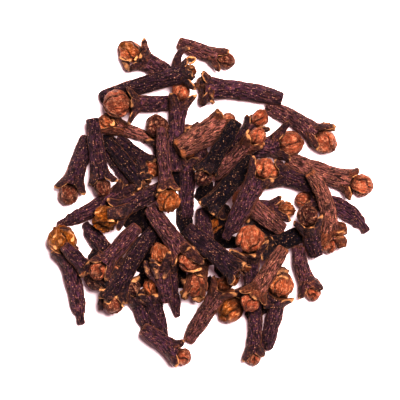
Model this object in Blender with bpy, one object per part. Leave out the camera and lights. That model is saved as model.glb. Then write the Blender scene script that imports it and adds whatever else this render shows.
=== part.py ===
"""A loose heap of whole dried cloves, fused into one solid.

Metres, +Z up. The origin is the centre of the flat underside. The cloves are laid from the bottom of
the heap to its top: each has its place in plan, and its height follows from what it lies on.
"""

import collections
import math

import bmesh
import bpy
import numpy as np

MM = 0.001

# The plan is read from straight above, in pixels of a view that is 400 pixels wide.
PIXEL = 0.19  # mm of table under one pixel
ORIGIN_PIXEL = (215.0, 222.0)

# One whole clove. All lengths are in mm.
STEM_STATIONS = (0.0, 0.3, 0.78, 1.0)  # share of the way from the tail to the neck
STEM_WIDTHS = (0.74, 0.97, 1.04, 1.3)  # width there, as a share of the stem's own
STUB_STATIONS = (0.0, 0.15, 0.2, 0.5, 0.82, 1.0)  # a tail that is worn to a thin stub
STUB_WIDTHS = (0.48, 0.52, 0.88, 1.04, 1.04, 1.3)
STEM_SIDES = 6
RING_FULLNESS = 1.07  # how far a ring's corners stand out, so that its sides lie in the round skin
NECK_BEHIND_BUD = 0.56  # distance from the neck to the centre of the bud, in bud widths
BUD_SIDES = 6
BUD_RINGS = (0.2, 0.5, 0.8)  # heights of the bud's rings, as shares of half a turn
OPEN_CUP_RISE = 0.5  # an open cup's rim stands this far ahead of the neck
OPEN_CUP_WIDTH = 1.12  # the head that has lost its bud, in stem widths

# The sepals, four thick scales round the neck. A wide stem has wide sepals.
SEPALS = 4
SEPAL_WIDTHS = (2.3, 1.2)  # at the root and at the blunt tip
SEPAL_THICKNESSES = (1.1, 0.7)
SEPAL_FULL_SIZE = 3.1  # the stem whose sepals have these sizes
SEPAL_LEAST_SHARE = 0.55  # what a sepal keeps of its size on the thinnest stem
SEPAL_STAND = 0.75  # how far a tip stands off the collar
SEPAL_RAISE = 1.15  # a tip seen this far aside is at least as far from the axis, times this
SEPAL_FORWARD = 1.2  # how far an unseen sepal reaches ahead of the neck
SEPAL_WANDER = 0.1  # spread of the angles of unseen sepals, in radians
SEPAL_LENGTHS = (0.6, 1.2)  # the shortest and the longest of them, as shares of that reach
SEPAL_SPARE = 0.5  # the share by which an unseen sepal on top is shorter
SEPAL_SUNK = 1.3  # the root lies this far behind the neck, inside the stem
SEPAL_ROOT = 0.5  # and this share of the collar's radius off the axis
SEPAL_SEED = 2000
LEAST_SEPAL_HEIGHT = 0.3  # a sepal whose tip points down into the table is left off
LOWEST_SEPAL = -0.35  # so is one whose tip hangs further under the neck, as a share of the tip's distance

# One lost bud has left a long sepal that hooks over the stem beside it.
HOOK_OWNER, HOOK_CATCH = "a2", "a16"
HOOK_PIXELS = ((176, 69), (177, 47), (190, 48))
HOOK_STATIONS = 6
HOOK_SIDES = 6
HOOK_WIDTHS = (1.9, 0.6)  # at its root and at its tip
HOOK_RISE = 0.6  # mm that its bend stands above its root
HOOK_SEAT = 0.4  # its tip's height above the axis of the stem it touches, in widths of that stem

# How the cloves lie.
NEST = 0.88  # two touching cloves sink into each other to this share of their radii
STEEPEST = math.tan(math.radians(20))
SLOPES = 61  # how many slopes between the steepest two are tried
SAMPLES = 15
LYING = 0.86  # on the table a clove's axis is this share of its radius high: its lowest side is flat
AXIS_STEP = 0.02  # the share of a clove over which the direction of its axis is measured

# The mound inside the heap, hidden under the cloves: it carries the flat that the heap rests on.
CORE_RADIUS = 3.9
CORE_TOP_SHARE = 0.6  # radius of its top over that of its foot
CORE_HEIGHT = 3.0
CORE_SIDES = 20

DRIED_BROWN = (0.062, 0.028, 0.022, 1.0)

Clove = collections.namedtuple("Clove", "name tail head stem bud bow roll lean form")
BUD, STUB, OPEN, BARE = "bud", "stub", "open", "bare"

# Pixels of the tail's end and of the bud's centre; widths of the stem and the bud in mm; the stem's bow
# to its left in mm; the turn about its own axis in degrees; the lean in degrees, or None where it only
# lies on the others; and the form: with its bud, with a worn tail too, with its bud lost, or both.
CLOVES = (
    Clove("a1", (174, 77), (129, 51), 3.3, 4.3, 0.0, 0, None, BUD),
    Clove("a6", (150, 139), (107, 122), 2.4, 3.8, 0.0, 20, None, BUD),
    Clove("a7", (167, 184), (157, 126), 2.7, 4.5, 0.0, 40, None, BUD),
    Clove("a12", (222, 160), (260, 118), 2.7, 3.4, 0.0, 10, None, BUD),
    Clove("a14", (266, 106), (327, 140), 3.1, 4.6, 0.5, 0, None, BUD),
    Clove("a16", (178, 42), (226, 60), 2.8, 3.4, 0.0, 0, None, BUD),
    Clove("a17", (287, 159), (362, 186), 3.5, 4.4, -0.2, 0, None, BUD),
    Clove("a18", (205, 172), (195, 131), 2.7, 3.0, 0.0, 0, None, OPEN),
    Clove("a10", (187, 218), (187, 152), 2.7, 3.0, 0.0, 0, None, BUD),
    Clove("b1", (88, 136), (68, 194.5), 3.3, 4.0, 0.0, 0, None, BUD),
    Clove("b5", (105, 150), (135, 188), 2.3, 3.0, 0.0, 45, None, BUD),
    Clove("b4", (117, 138), (152, 169), 2.7, 3.4, 0.0, 0, None, BUD),
    Clove("e7", (57, 225), (122, 191), 2.8, 3.0, -0.5, 0, None, BARE),
    Clove("e5", (84, 223), (116, 266), 3.0, 3.6, 0.0, 30, None, STUB),
    Clove("e1", (81, 325), (63, 240), 3.0, 5.5, -0.2, 0, None, STUB),
    Clove("e9", (144, 214), (170, 262), 2.5, 3.2, 0.0, 45, None, BUD),
    Clove("f4", (147, 328), (132, 289), 2.7, 3.3, 0.0, 30, None, BUD),
    Clove("f3", (163, 340), (150, 288), 3.0, 2.5, 0.0, 20, None, BUD),
    Clove("f2", (177, 317), (170, 256), 1.9, 3.0, 0.0, 0, None, BUD),
    Clove("c6", (368, 232), (304, 196), 3.2, 3.0, -1.5, 30, None, STUB),
    Clove("c3", (322, 189), (273, 172), 3.1, 3.2, 0.0, 0, None, BUD),
    Clove("c8", (247, 206), (287, 209), 2.9, 3.2, 0.0, 0, None, BUD),
    Clove("c10", (288, 243), (244, 210), 2.7, 3.2, 0.0, 45, None, BUD),
    Clove("c11", (322, 226), (267, 248), 3.1, 3.2, 0.0, 0, None, OPEN),
    Clove("c12", (299, 246), (311, 294), 2.8, 3.2, -0.5, 0, None, BUD),
    Clove("c15", (268, 274), (230, 309), 2.9, 5.3, 0.0, 45, None, BUD),
    Clove("c18", (222, 178), (214, 225), 2.8, 3.5, 0.0, 45, None, BUD),
    Clove("c17", (207, 243), (195, 287), 2.7, 4.7, 0.0, 20, 25, BUD),
    Clove("f8", (247, 318), (278, 297), 2.5, 3.0, 0.0, 45, None, BUD),
    Clove("f7", (256, 298), (254, 359), 2.6, 2.8, 0.0, 0, None, BUD),
    Clove("d5", (202, 209), (207, 258), 3.2, 3.4, 0.0, 0, None, OPEN),
    Clove("c19", (267, 349), (281, 284), 3.0, 4.8, 0.0, 20, None, BUD),
    Clove("a13", (238, 152), (291, 143), 3.6, 4.9, 0.0, 0, None, BUD),
    Clove("a2", (100, 98), (187, 73), 3.2, 3.4, 0.2, 0, None, OPEN),
    Clove("a3", (178, 103), (116, 104), 2.9, 5.4, 0.0, 0, None, BUD),
    Clove("a15", (283, 99), (207, 88), 3.5, 3.4, -0.5, 0, None, OPEN),
    Clove("a4", (175, 172), (180, 92), 2.9, 3.6, 0.2, 0, None, BUD),
    Clove("b3", (106, 140), (141, 182), 2.8, 3.2, 0.0, 0, None, OPEN),
    Clove("b2", (92, 118), (102, 188), 3.0, 3.4, 0.0, 0, None, BUD),
    Clove("e2", (64, 245), (95, 279), 2.8, 4.2, 0.0, 30, None, BUD),
    Clove("e8", (166, 186), (106, 218), 3.2, 5.0, 0.0, 20, None, BUD),
    Clove("e6", (155, 230), (111, 303), 3.2, 4.0, -0.7, 0, None, BUD),
    Clove("f5", (142, 328), (183, 357), 3.2, 3.4, 0.0, 0, None, BUD),
    Clove("c16", (188, 341), (225, 283), 3.1, 3.0, 0.0, 0, None, BUD),
    Clove("a11", (214, 177), (258, 136), 2.9, 3.4, 0.0, 45, None, BUD),
    Clove("c1", (254, 157), (211, 206), 3.4, 3.4, 0.0, 0, None, OPEN),
    Clove("c9", (283, 230), (240, 198), 3.3, 3.2, 0.0, 0, None, BUD),
    Clove("f1", (166, 302), (160, 252), 2.8, 3.7, 0.0, 0, None, BUD),
    Clove("d1", (149, 207), (189, 261), 3.5, 4.2, 0.0, 0, None, BUD),
    Clove("c13", (252, 292), (250, 238), 3.1, 5.5, 0.0, 0, 18, BUD),
    Clove("a5", (161, 127), (168, 201), 2.5, 4.4, 0.0, 0, None, BUD),
    Clove("a8", (177, 150), (229, 120), 4.5, 2.9, 0.0, 0, None, BUD),
    Clove("a9", (237, 121), (203, 177), 2.9, 3.6, 0.0, 0, None, BUD),
    Clove("c2", (225, 239), (263, 168), 3.6, 3.9, 0.0, 0, None, STUB),
    Clove("d3", (186, 228), (237, 272), 3.6, 3.4, 0.0, 0, None, OPEN),
    Clove("c7", (316, 256), (307, 215), 3.4, 4.2, 0.0, 0, 20, BUD),
    Clove("c5", (309, 172), (333, 245), 3.0, 3.4, 1.2, 0, None, BUD),
    Clove("c14", (284, 247), (250, 302), 3.0, 3.7, 0.0, 0, None, BUD),
    Clove("e3", (138, 226), (98, 271), 3.1, 3.5, 0.0, 0, 7.5, BUD),
)
NUMBER = {clove.name: number for number, clove in enumerate(CLOVES)}

# Pixels of the sepal tips that can be seen; each clove's other sepals fill the quarters between them.
SEPAL_TIPS = {
    "a1": ((144, 38), (128, 70), (140, 57)),
    "a2": ((193, 76), (195, 90)),
    "a3": ((127, 87), (129, 125), (132, 104)),
    "a4": ((171, 93), (196, 95)),
    "a5": ((180, 190), (159, 191)),
    "a6": ((110, 111), (99, 131)),
    "a7": ((146, 141), (170, 139)),
    "a8": ((218, 111), (238, 123)),
    "a9": ((193, 169), (207, 172)),
    "a10": ((178, 157), (197, 158)),
    "a11": ((262, 147), (248, 136)),
    "a12": ((247, 115), (271, 129)),
    "a13": ((289, 121), (291, 160)),
    "a14": ((336, 126), (318, 150)),
    "a15": ((203, 71), (202, 106), (213, 96)),
    "a16": ((230, 51), (220, 71)),
    "a17": ((360, 170), (350, 200)),
    "a18": ((202, 123),),
    "b1": ((54, 188), (84, 195)),
    "b2": ((90, 185), (118, 181)),
    "b3": ((139, 190), (153, 177)),
    "b4": ((157, 160), (147, 175)),
    "b5": ((124, 186), (141, 181)),
    "e1": ((51, 252), (75, 246)),
    "e2": ((112, 289), (88, 262), (83, 275)),
    "e3": ((90, 261), (106, 281)),
    "e5": ((112, 274), (125, 266)),
    "e6": ((99, 298), (124, 304), (105, 302)),
    "e7": ((121, 181), (134, 195), (138, 185)),
    "e8": ((107, 199), (118, 231)),
    "f1": ((170, 251),),
    "f3": ((138, 295), (157, 295)),
    "f4": ((123, 294), (142, 290)),
    "f5": ((177, 367), (184, 341)),
    "f7": ((243, 362), (264, 357)),
    "d1": ((173, 266), (189, 248), (204, 264)),
    "d3": ((244, 263), (231, 284)),
    "c1": ((213, 215), (199, 203)),
    "c2": ((253, 156), (273, 180)),
    "c3": ((275, 159), (265, 188)),
    "c5": ((346, 231), (321, 246)),
    "c6": ((303, 210), (318, 189)),
    "c7": ((322, 215), (308, 229), (294, 222)),
    "c8": ((281, 196), (291, 221)),
    "c11": ((272, 238), (261, 259), (266, 245)),
    "c12": ((323, 290), (300, 299)),
    "c13": ((229, 250), (268, 240), (254, 255)),
    "c14": ((239, 291), (265, 305), (254, 298)),
    "c16": ((214, 276), (237, 294)),
    "c17": ((183, 297), (201, 276), (203, 298)),
    "c19": ((293, 300), (264, 308)),
}


def on_table(pixel):
    """The point of the table under a pixel, in mm."""
    return np.array([(pixel[0] - ORIGIN_PIXEL[0]) * PIXEL, (ORIGIN_PIXEL[1] - pixel[1]) * PIXEL])


def stem_profile(clove):
    if clove.form in (STUB, BARE):
        return STUB_STATIONS, STUB_WIDTHS
    return STEM_STATIONS, STEM_WIDTHS


def has_bud(clove):
    return clove.form in (BUD, STUB)


def head_width(clove):
    return clove.bud if has_bud(clove) else clove.stem * OPEN_CUP_WIDTH


def plan_line(clove):
    """Tail, middle and neck of the bowed axis in plan, and the neck's share of the way to the head."""
    tail, head = on_table(clove.tail), on_table(clove.head)
    along = (head - tail) / np.linalg.norm(head - tail)
    behind = NECK_BEHIND_BUD * clove.bud if has_bud(clove) else 0.0
    neck = head - along * behind
    left = np.array([-along[1], along[0]])
    middle = (tail + neck) / 2 + left * 2 * clove.bow
    share = np.linalg.norm(neck - tail) / np.linalg.norm(head - tail)
    return tail, middle, neck, head, share


def plan_point(clove, station):
    """Where the axis is at a station, 0 at the tail and 1 at the neck, on a bow through three points."""
    tail, middle, neck, _, _ = plan_line(clove)
    s = np.asarray(station, float)[..., None]
    return (1 - s) ** 2 * tail + 2 * s * (1 - s) * middle + s**2 * neck


def balls_along(clove):
    """The clove as a row of balls: places in plan, shares of the way from tail to head, and radii."""
    _, _, _, head, share = plan_line(clove)
    stations = np.linspace(0.04, 1.0, SAMPLES)
    at, widths = stem_profile(clove)
    radii = np.interp(stations, at, widths) * clove.stem / 2
    places = np.vstack([plan_point(clove, stations), head])
    shares = np.append(stations * share, 1.0)
    return places, shares, np.append(radii, head_width(clove) / 2)


def settle(cloves):
    """The heights of each clove's tail and head: as low as the table and the earlier cloves allow."""
    heights = {}
    laid_places, laid_heights, laid_radii = np.zeros((0, 2)), np.zeros(0), np.zeros(0)
    for clove in cloves:
        places, shares, radii = balls_along(clove)
        reach = (radii[:, None] + laid_radii) * NEST
        apart = np.linalg.norm(places[:, None] - laid_places, axis=2)
        over = laid_heights + np.sqrt(np.clip(reach**2 - apart**2, 0, None))
        over = np.where(apart < reach, over, 0.0)
        least = np.maximum(radii * LYING, over.max(axis=1, initial=0.0))
        length = np.linalg.norm(on_table(clove.head) - on_table(clove.tail))
        if clove.lean is None:
            climbs = np.linspace(-STEEPEST, STEEPEST, SLOPES) * length
        else:
            climbs = np.array([math.tan(math.radians(clove.lean)) * length])
        middles = (least - climbs[:, None] * (shares - 0.5)).max(axis=1)
        best = int(np.argmin(middles))
        tail_height = middles[best] - climbs[best] / 2
        head_height = middles[best] + climbs[best] / 2
        heights[clove.name] = (tail_height, head_height)
        laid_places = np.vstack([laid_places, places])
        laid_heights = np.append(laid_heights, tail_height + (head_height - tail_height) * shares)
        laid_radii = np.append(laid_radii, radii)
    return heights


def axis_frames(clove, heights, stations):
    """Points on the axis in space, with the unit vectors along it, to its left and upward."""
    share = plan_line(clove)[4]
    plan = plan_point(clove, stations)
    climb = heights[1] - heights[0]
    points = np.column_stack([plan, heights[0] + climb * share * np.asarray(stations)])
    ahead = plan_point(clove, np.asarray(stations) + AXIS_STEP)
    back = plan_point(clove, np.asarray(stations) - AXIS_STEP)
    along = np.column_stack([ahead - back, np.full(len(points), 2 * AXIS_STEP * climb * share)])
    along /= np.linalg.norm(along, axis=1)[:, None]
    left = np.cross([0.0, 0.0, 1.0], along)
    left /= np.linalg.norm(left, axis=1)[:, None]
    return points, along, left, np.cross(along, left)


def above_table(points):
    return np.maximum(points, [-np.inf, -np.inf, 0.0])


def add_loft(bm, rings):
    """A closed skin over rings of points, flat where it meets the table; both end rings are capped."""
    loops = [[bm.verts.new(point * MM) for point in above_table(ring)] for ring in rings]
    for lower, upper in zip(loops, loops[1:]):
        for i in range(len(lower)):
            j = (i + 1) % len(lower)
            bm.faces.new((lower[i], lower[j], upper[j], upper[i]))
    bm.faces.new(loops[0][::-1])
    bm.faces.new(loops[-1])


def ring(centre, left, up, radius, sides, turn):
    angles = turn + np.arange(sides) * 2 * np.pi / sides
    around = np.cos(angles)[:, None] * left + np.sin(angles)[:, None] * up
    return centre + radius * around


def stem_rings(clove, heights, turn):
    at, widths = stem_profile(clove)
    points, _, left, up = axis_frames(clove, heights, at)
    for point, side, top, width in zip(points, left, up, widths):
        yield ring(point, side, top, width * clove.stem / 2 * RING_FULLNESS, STEM_SIDES, turn)


def bud_rings(clove, heights, turn):
    points, along, left, up = axis_frames(clove, heights, [1.0])
    neck, along, left, up = points[0], along[0], left[0], up[0]
    if not has_bud(clove):
        rim = clove.stem * OPEN_CUP_WIDTH / 2 * RING_FULLNESS
        yield ring(neck + along * OPEN_CUP_RISE, left, up, rim, BUD_SIDES, turn)
        return
    radius = clove.bud / 2
    centre = neck + along * NECK_BEHIND_BUD * clove.bud
    for share in BUD_RINGS:
        angle = share * np.pi
        height = centre - along * radius * math.cos(angle)
        yield ring(height, left, up, radius * RING_FULLNESS * math.sin(angle), BUD_SIDES, turn)


def seen_sepals(clove, points, along, left):
    """Angle about the axis, reach ahead of the neck and distance from the axis of each tip that is seen."""
    collar = clove.stem * STEM_WIDTHS[-1] / 2
    flat = np.linalg.norm(along[:2])
    for pixel in SEPAL_TIPS.get(clove.name, ()):
        offset = on_table(pixel) - points[:2]
        aside = offset @ left[:2]
        lift = math.sqrt(max(collar + SEPAL_STAND, SEPAL_RAISE * abs(aside)) ** 2 - aside**2)
        ahead = (offset @ along[:2] / flat + lift * along[2]) / flat
        yield math.atan2(lift, aside), ahead, math.hypot(lift, aside)


def sepal_lines(clove, heights):
    """Root, tip and outward direction of each sepal: the seen ones first, then the quarters left free."""
    rng = np.random.default_rng(SEPAL_SEED + NUMBER[clove.name])
    points, along, left, up = (row[0] for row in axis_frames(clove, heights, [1.0]))
    collar = clove.stem * STEM_WIDTHS[-1] / 2
    listed = list(seen_sepals(clove, points, along, left))
    base = listed[0][0] if listed else math.radians(clove.roll)
    quarters = [base + number * 2 * math.pi / SEPALS for number in range(SEPALS)]
    for angle, _, _ in listed:
        quarters.remove(min(quarters, key=lambda quarter: -math.cos(quarter - angle)))
    for quarter in quarters:
        angle = quarter + rng.normal(0, SEPAL_WANDER)
        ahead = SEPAL_FORWARD * rng.uniform(*SEPAL_LENGTHS) * (1 - SEPAL_SPARE * max(0.0, math.sin(angle)))
        listed.append((angle, ahead, collar + SEPAL_STAND))
    for angle, ahead, away in listed:
        outward = math.cos(angle) * left + math.sin(angle) * up
        root = points + outward * collar * SEPAL_ROOT - along * SEPAL_SUNK
        yield root, points + outward * away + along * ahead, outward, along


def sepal_rings(clove, root, tip, outward, along):
    """A thick scale: a rectangle sunk in the collar and a smaller one at the blunt tip."""
    across = np.cross(along, outward)
    face = np.cross(tip - root, across) / np.linalg.norm(tip - root)
    size = SEPAL_LEAST_SHARE + (1 - SEPAL_LEAST_SHARE) * clove.stem / SEPAL_FULL_SIZE
    for centre, width, thickness in zip((root, tip), SEPAL_WIDTHS, SEPAL_THICKNESSES):
        half = across * width * size / 2
        thick = face * thickness * size / 2
        inner, outer = centre + thick, centre - thick
        yield np.array([outer - half, outer + half, inner + half, inner - half])


def add_piece(rings, name, collection):
    bm = bmesh.new()
    add_loft(bm, list(rings))
    bmesh.ops.recalc_face_normals(bm, faces=bm.faces)
    mesh = bpy.data.meshes.new(name)
    bm.to_mesh(mesh)
    bm.free()
    piece = bpy.data.objects.new(name, mesh)
    collection.objects.link(piece)
    return piece


def add_clove(clove, heights, collection):
    turn = math.radians(clove.roll)
    body = list(stem_rings(clove, heights, turn)) + list(bud_rings(clove, heights, turn))
    add_piece(body, clove.name, collection)
    for number, (root, tip, outward, along) in enumerate(sepal_lines(clove, heights)):
        if tip[2] > LEAST_SEPAL_HEIGHT and outward[2] > LOWEST_SEPAL:
            rings = sepal_rings(clove, root, tip, outward, along)
            add_piece(rings, f"{clove.name}_sepal_{number}", collection)


def height_at(clove, heights, pixel):
    """The height of a clove's axis where it passes a pixel."""
    tail, head = on_table(clove.tail), on_table(clove.head)
    share = (on_table(pixel) - tail) @ (head - tail) / ((head - tail) @ (head - tail))
    return heights[0] + (heights[1] - heights[0]) * share


def add_hook(heights, collection):
    """A curved horn from one calyx down to the stem that it touches."""
    owner, catch = (next(c for c in CLOVES if c.name == name) for name in (HOOK_OWNER, HOOK_CATCH))
    low = height_at(catch, heights[catch.name], HOOK_PIXELS[2])
    high = height_at(owner, heights[owner.name], HOOK_PIXELS[0])
    rises = high, high + HOOK_RISE, low + catch.stem * HOOK_SEAT
    start, bend, tip = (np.append(on_table(pixel), rise) for pixel, rise in zip(HOOK_PIXELS, rises))
    rings = []
    for share in np.linspace(0.0, 1.0, HOOK_STATIONS):
        centre = (1 - share) ** 2 * start + 2 * share * (1 - share) * bend + share**2 * tip
        along = (1 - share) * (bend - start) + share * (tip - bend)
        along /= np.linalg.norm(along)
        left = np.cross([0.0, 0.0, 1.0], along)
        left /= np.linalg.norm(left)
        width = HOOK_WIDTHS[0] + (HOOK_WIDTHS[1] - HOOK_WIDTHS[0]) * share
        rings.append(ring(centre, left, np.cross(along, left), width / 2, HOOK_SIDES, 0.0))
    add_piece(rings, "hook", collection)


def add_core():
    """A low mound with a flat underside and a bevelled foot."""
    bm = bmesh.new()
    bmesh.ops.create_cone(
        bm,
        cap_ends=True,
        segments=CORE_SIDES,
        radius1=CORE_RADIUS * MM,
        radius2=CORE_RADIUS * CORE_TOP_SHARE * MM,
        depth=CORE_HEIGHT * MM,
    )
    bmesh.ops.translate(bm, verts=bm.verts, vec=(0, 0, CORE_HEIGHT * MM / 2))
    mesh = bpy.data.meshes.new("clove_heap")
    bm.to_mesh(mesh)
    bm.free()
    core = bpy.data.objects.new("clove_heap", mesh)
    bpy.context.scene.collection.objects.link(core)
    return core


def fuse(core, pieces):
    """Joins the pieces to the core by one union and removes them."""
    union = core.modifiers.new("all_cloves", "BOOLEAN")
    union.operation = "UNION"
    union.operand_type = "COLLECTION"
    union.collection = pieces
    union.solver = "MANIFOLD"
    graph = bpy.context.evaluated_depsgraph_get()
    fused = bpy.data.meshes.new_from_object(core.evaluated_get(graph))
    core.modifiers.clear()
    core.data = fused
    for piece in list(pieces.objects):
        bpy.data.objects.remove(piece)
    bpy.data.collections.remove(pieces)


def islands(bm):
    """Groups of vertices that edges join."""
    left = set(bm.verts)
    while left:
        group, edge = set(), [left.pop()]
        while edge:
            vertex = edge.pop()
            group.add(vertex)
            near = {e.other_vert(vertex) for e in vertex.link_edges} & left
            left -= near
            edge.extend(near)
        yield group


def keep_largest_island(heap):
    """Fills sealed hollows and drops loose scrap: only the outer skin stays."""
    bm = bmesh.new()
    bm.from_mesh(heap.data)
    groups = sorted(islands(bm), key=len)
    for group in groups[:-1]:
        bmesh.ops.delete(bm, geom=list(group), context="VERTS")
    bmesh.ops.triangulate(bm, faces=bm.faces)
    bm.to_mesh(heap.data)
    bm.free()


def dried_brown():
    material = bpy.data.materials.new("dried_clove")
    material.use_nodes = True
    principled = material.node_tree.nodes["Principled BSDF"]
    principled.inputs["Base Color"].default_value = DRIED_BROWN
    principled.inputs["Roughness"].default_value = 0.78
    principled.inputs["Metallic"].default_value = 0.0
    return material


def main():
    for thing in list(bpy.data.objects):
        bpy.data.objects.remove(thing)
    pieces = bpy.data.collections.new("cloves")
    bpy.context.scene.collection.children.link(pieces)
    heights = settle(CLOVES)
    for clove in CLOVES:
        add_clove(clove, heights[clove.name], pieces)
    add_hook(heights, pieces)
    core = add_core()
    fuse(core, pieces)
    keep_largest_island(core)
    core.data.materials.clear()
    core.data.materials.append(dried_brown())


if __name__ == "__main__":
    main()
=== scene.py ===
# %% [markdown]
# # A loose heap of whole dried cloves
#
# A clove is a flower bud, picked shut and dried in the sun. It has a wrinkled stem, four pointed sepals
# that spread like a crown, and a round bud of four overlapping petals. This heap holds about sixty of
# them, lying one to four deep on a pale table.
#
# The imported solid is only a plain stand-in, one block with few faces. This file lays the same cloves in
# the same places, but each as fine surfaces: a wrinkled stem, curled sepals, and a folded bud.

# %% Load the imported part
import collections
import math

import bpy
import numpy as np
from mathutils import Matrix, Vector


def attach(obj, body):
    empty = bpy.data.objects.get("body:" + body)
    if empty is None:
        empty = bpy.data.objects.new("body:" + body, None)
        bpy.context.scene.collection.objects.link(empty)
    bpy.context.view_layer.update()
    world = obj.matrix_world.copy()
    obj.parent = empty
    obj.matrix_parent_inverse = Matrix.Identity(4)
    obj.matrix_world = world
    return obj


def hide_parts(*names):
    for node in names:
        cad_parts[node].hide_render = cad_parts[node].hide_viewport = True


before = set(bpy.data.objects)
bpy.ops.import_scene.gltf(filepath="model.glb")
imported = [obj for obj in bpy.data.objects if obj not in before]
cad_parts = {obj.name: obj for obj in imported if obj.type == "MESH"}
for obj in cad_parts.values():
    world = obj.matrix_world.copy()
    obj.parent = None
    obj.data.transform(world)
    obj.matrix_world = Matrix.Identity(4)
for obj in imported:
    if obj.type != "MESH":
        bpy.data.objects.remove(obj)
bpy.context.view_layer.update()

NODE = "clove_heap"
print("packed nodes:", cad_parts)

# %% [markdown]
# ## Where each clove lies
#
# The heap is laid out as it is seen from straight above, on a view 400 pixels wide. For each clove the
# list gives the pixel of its tail and of its bud, so the plan can be checked against what is seen. Real
# sizes follow from one number, the millimetres of table under a pixel.

# %% Sizes of a clove, and the list of cloves
MM = 0.001
PIXEL = 0.19  # mm of table under one pixel
ORIGIN_PIXEL = (215.0, 222.0)
FRAME_PIXELS = 400

STEM_STATIONS = (0.0, 0.3, 0.78, 1.0)  # share of the way from the tail to the neck
STEM_WIDTHS = (0.74, 0.97, 1.04, 1.3)  # width there, as a share of the stem's own
STUB_STATIONS = (0.0, 0.15, 0.2, 0.5, 0.82, 1.0)  # a tail that is worn to a thin stub
STUB_WIDTHS = (0.48, 0.52, 0.88, 1.04, 1.04, 1.3)
NECK_BEHIND_BUD = 0.56  # distance from the neck to the centre of the bud, in bud widths
OPEN_CUP_WIDTH = 1.12  # the head that has lost its bud, in stem widths

Clove = collections.namedtuple("Clove", "name tail head stem bud roll form tone bloom bow lean")
BUD, STUB, OPEN, BARE = "bud", "stub", "open", "bare"

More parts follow.
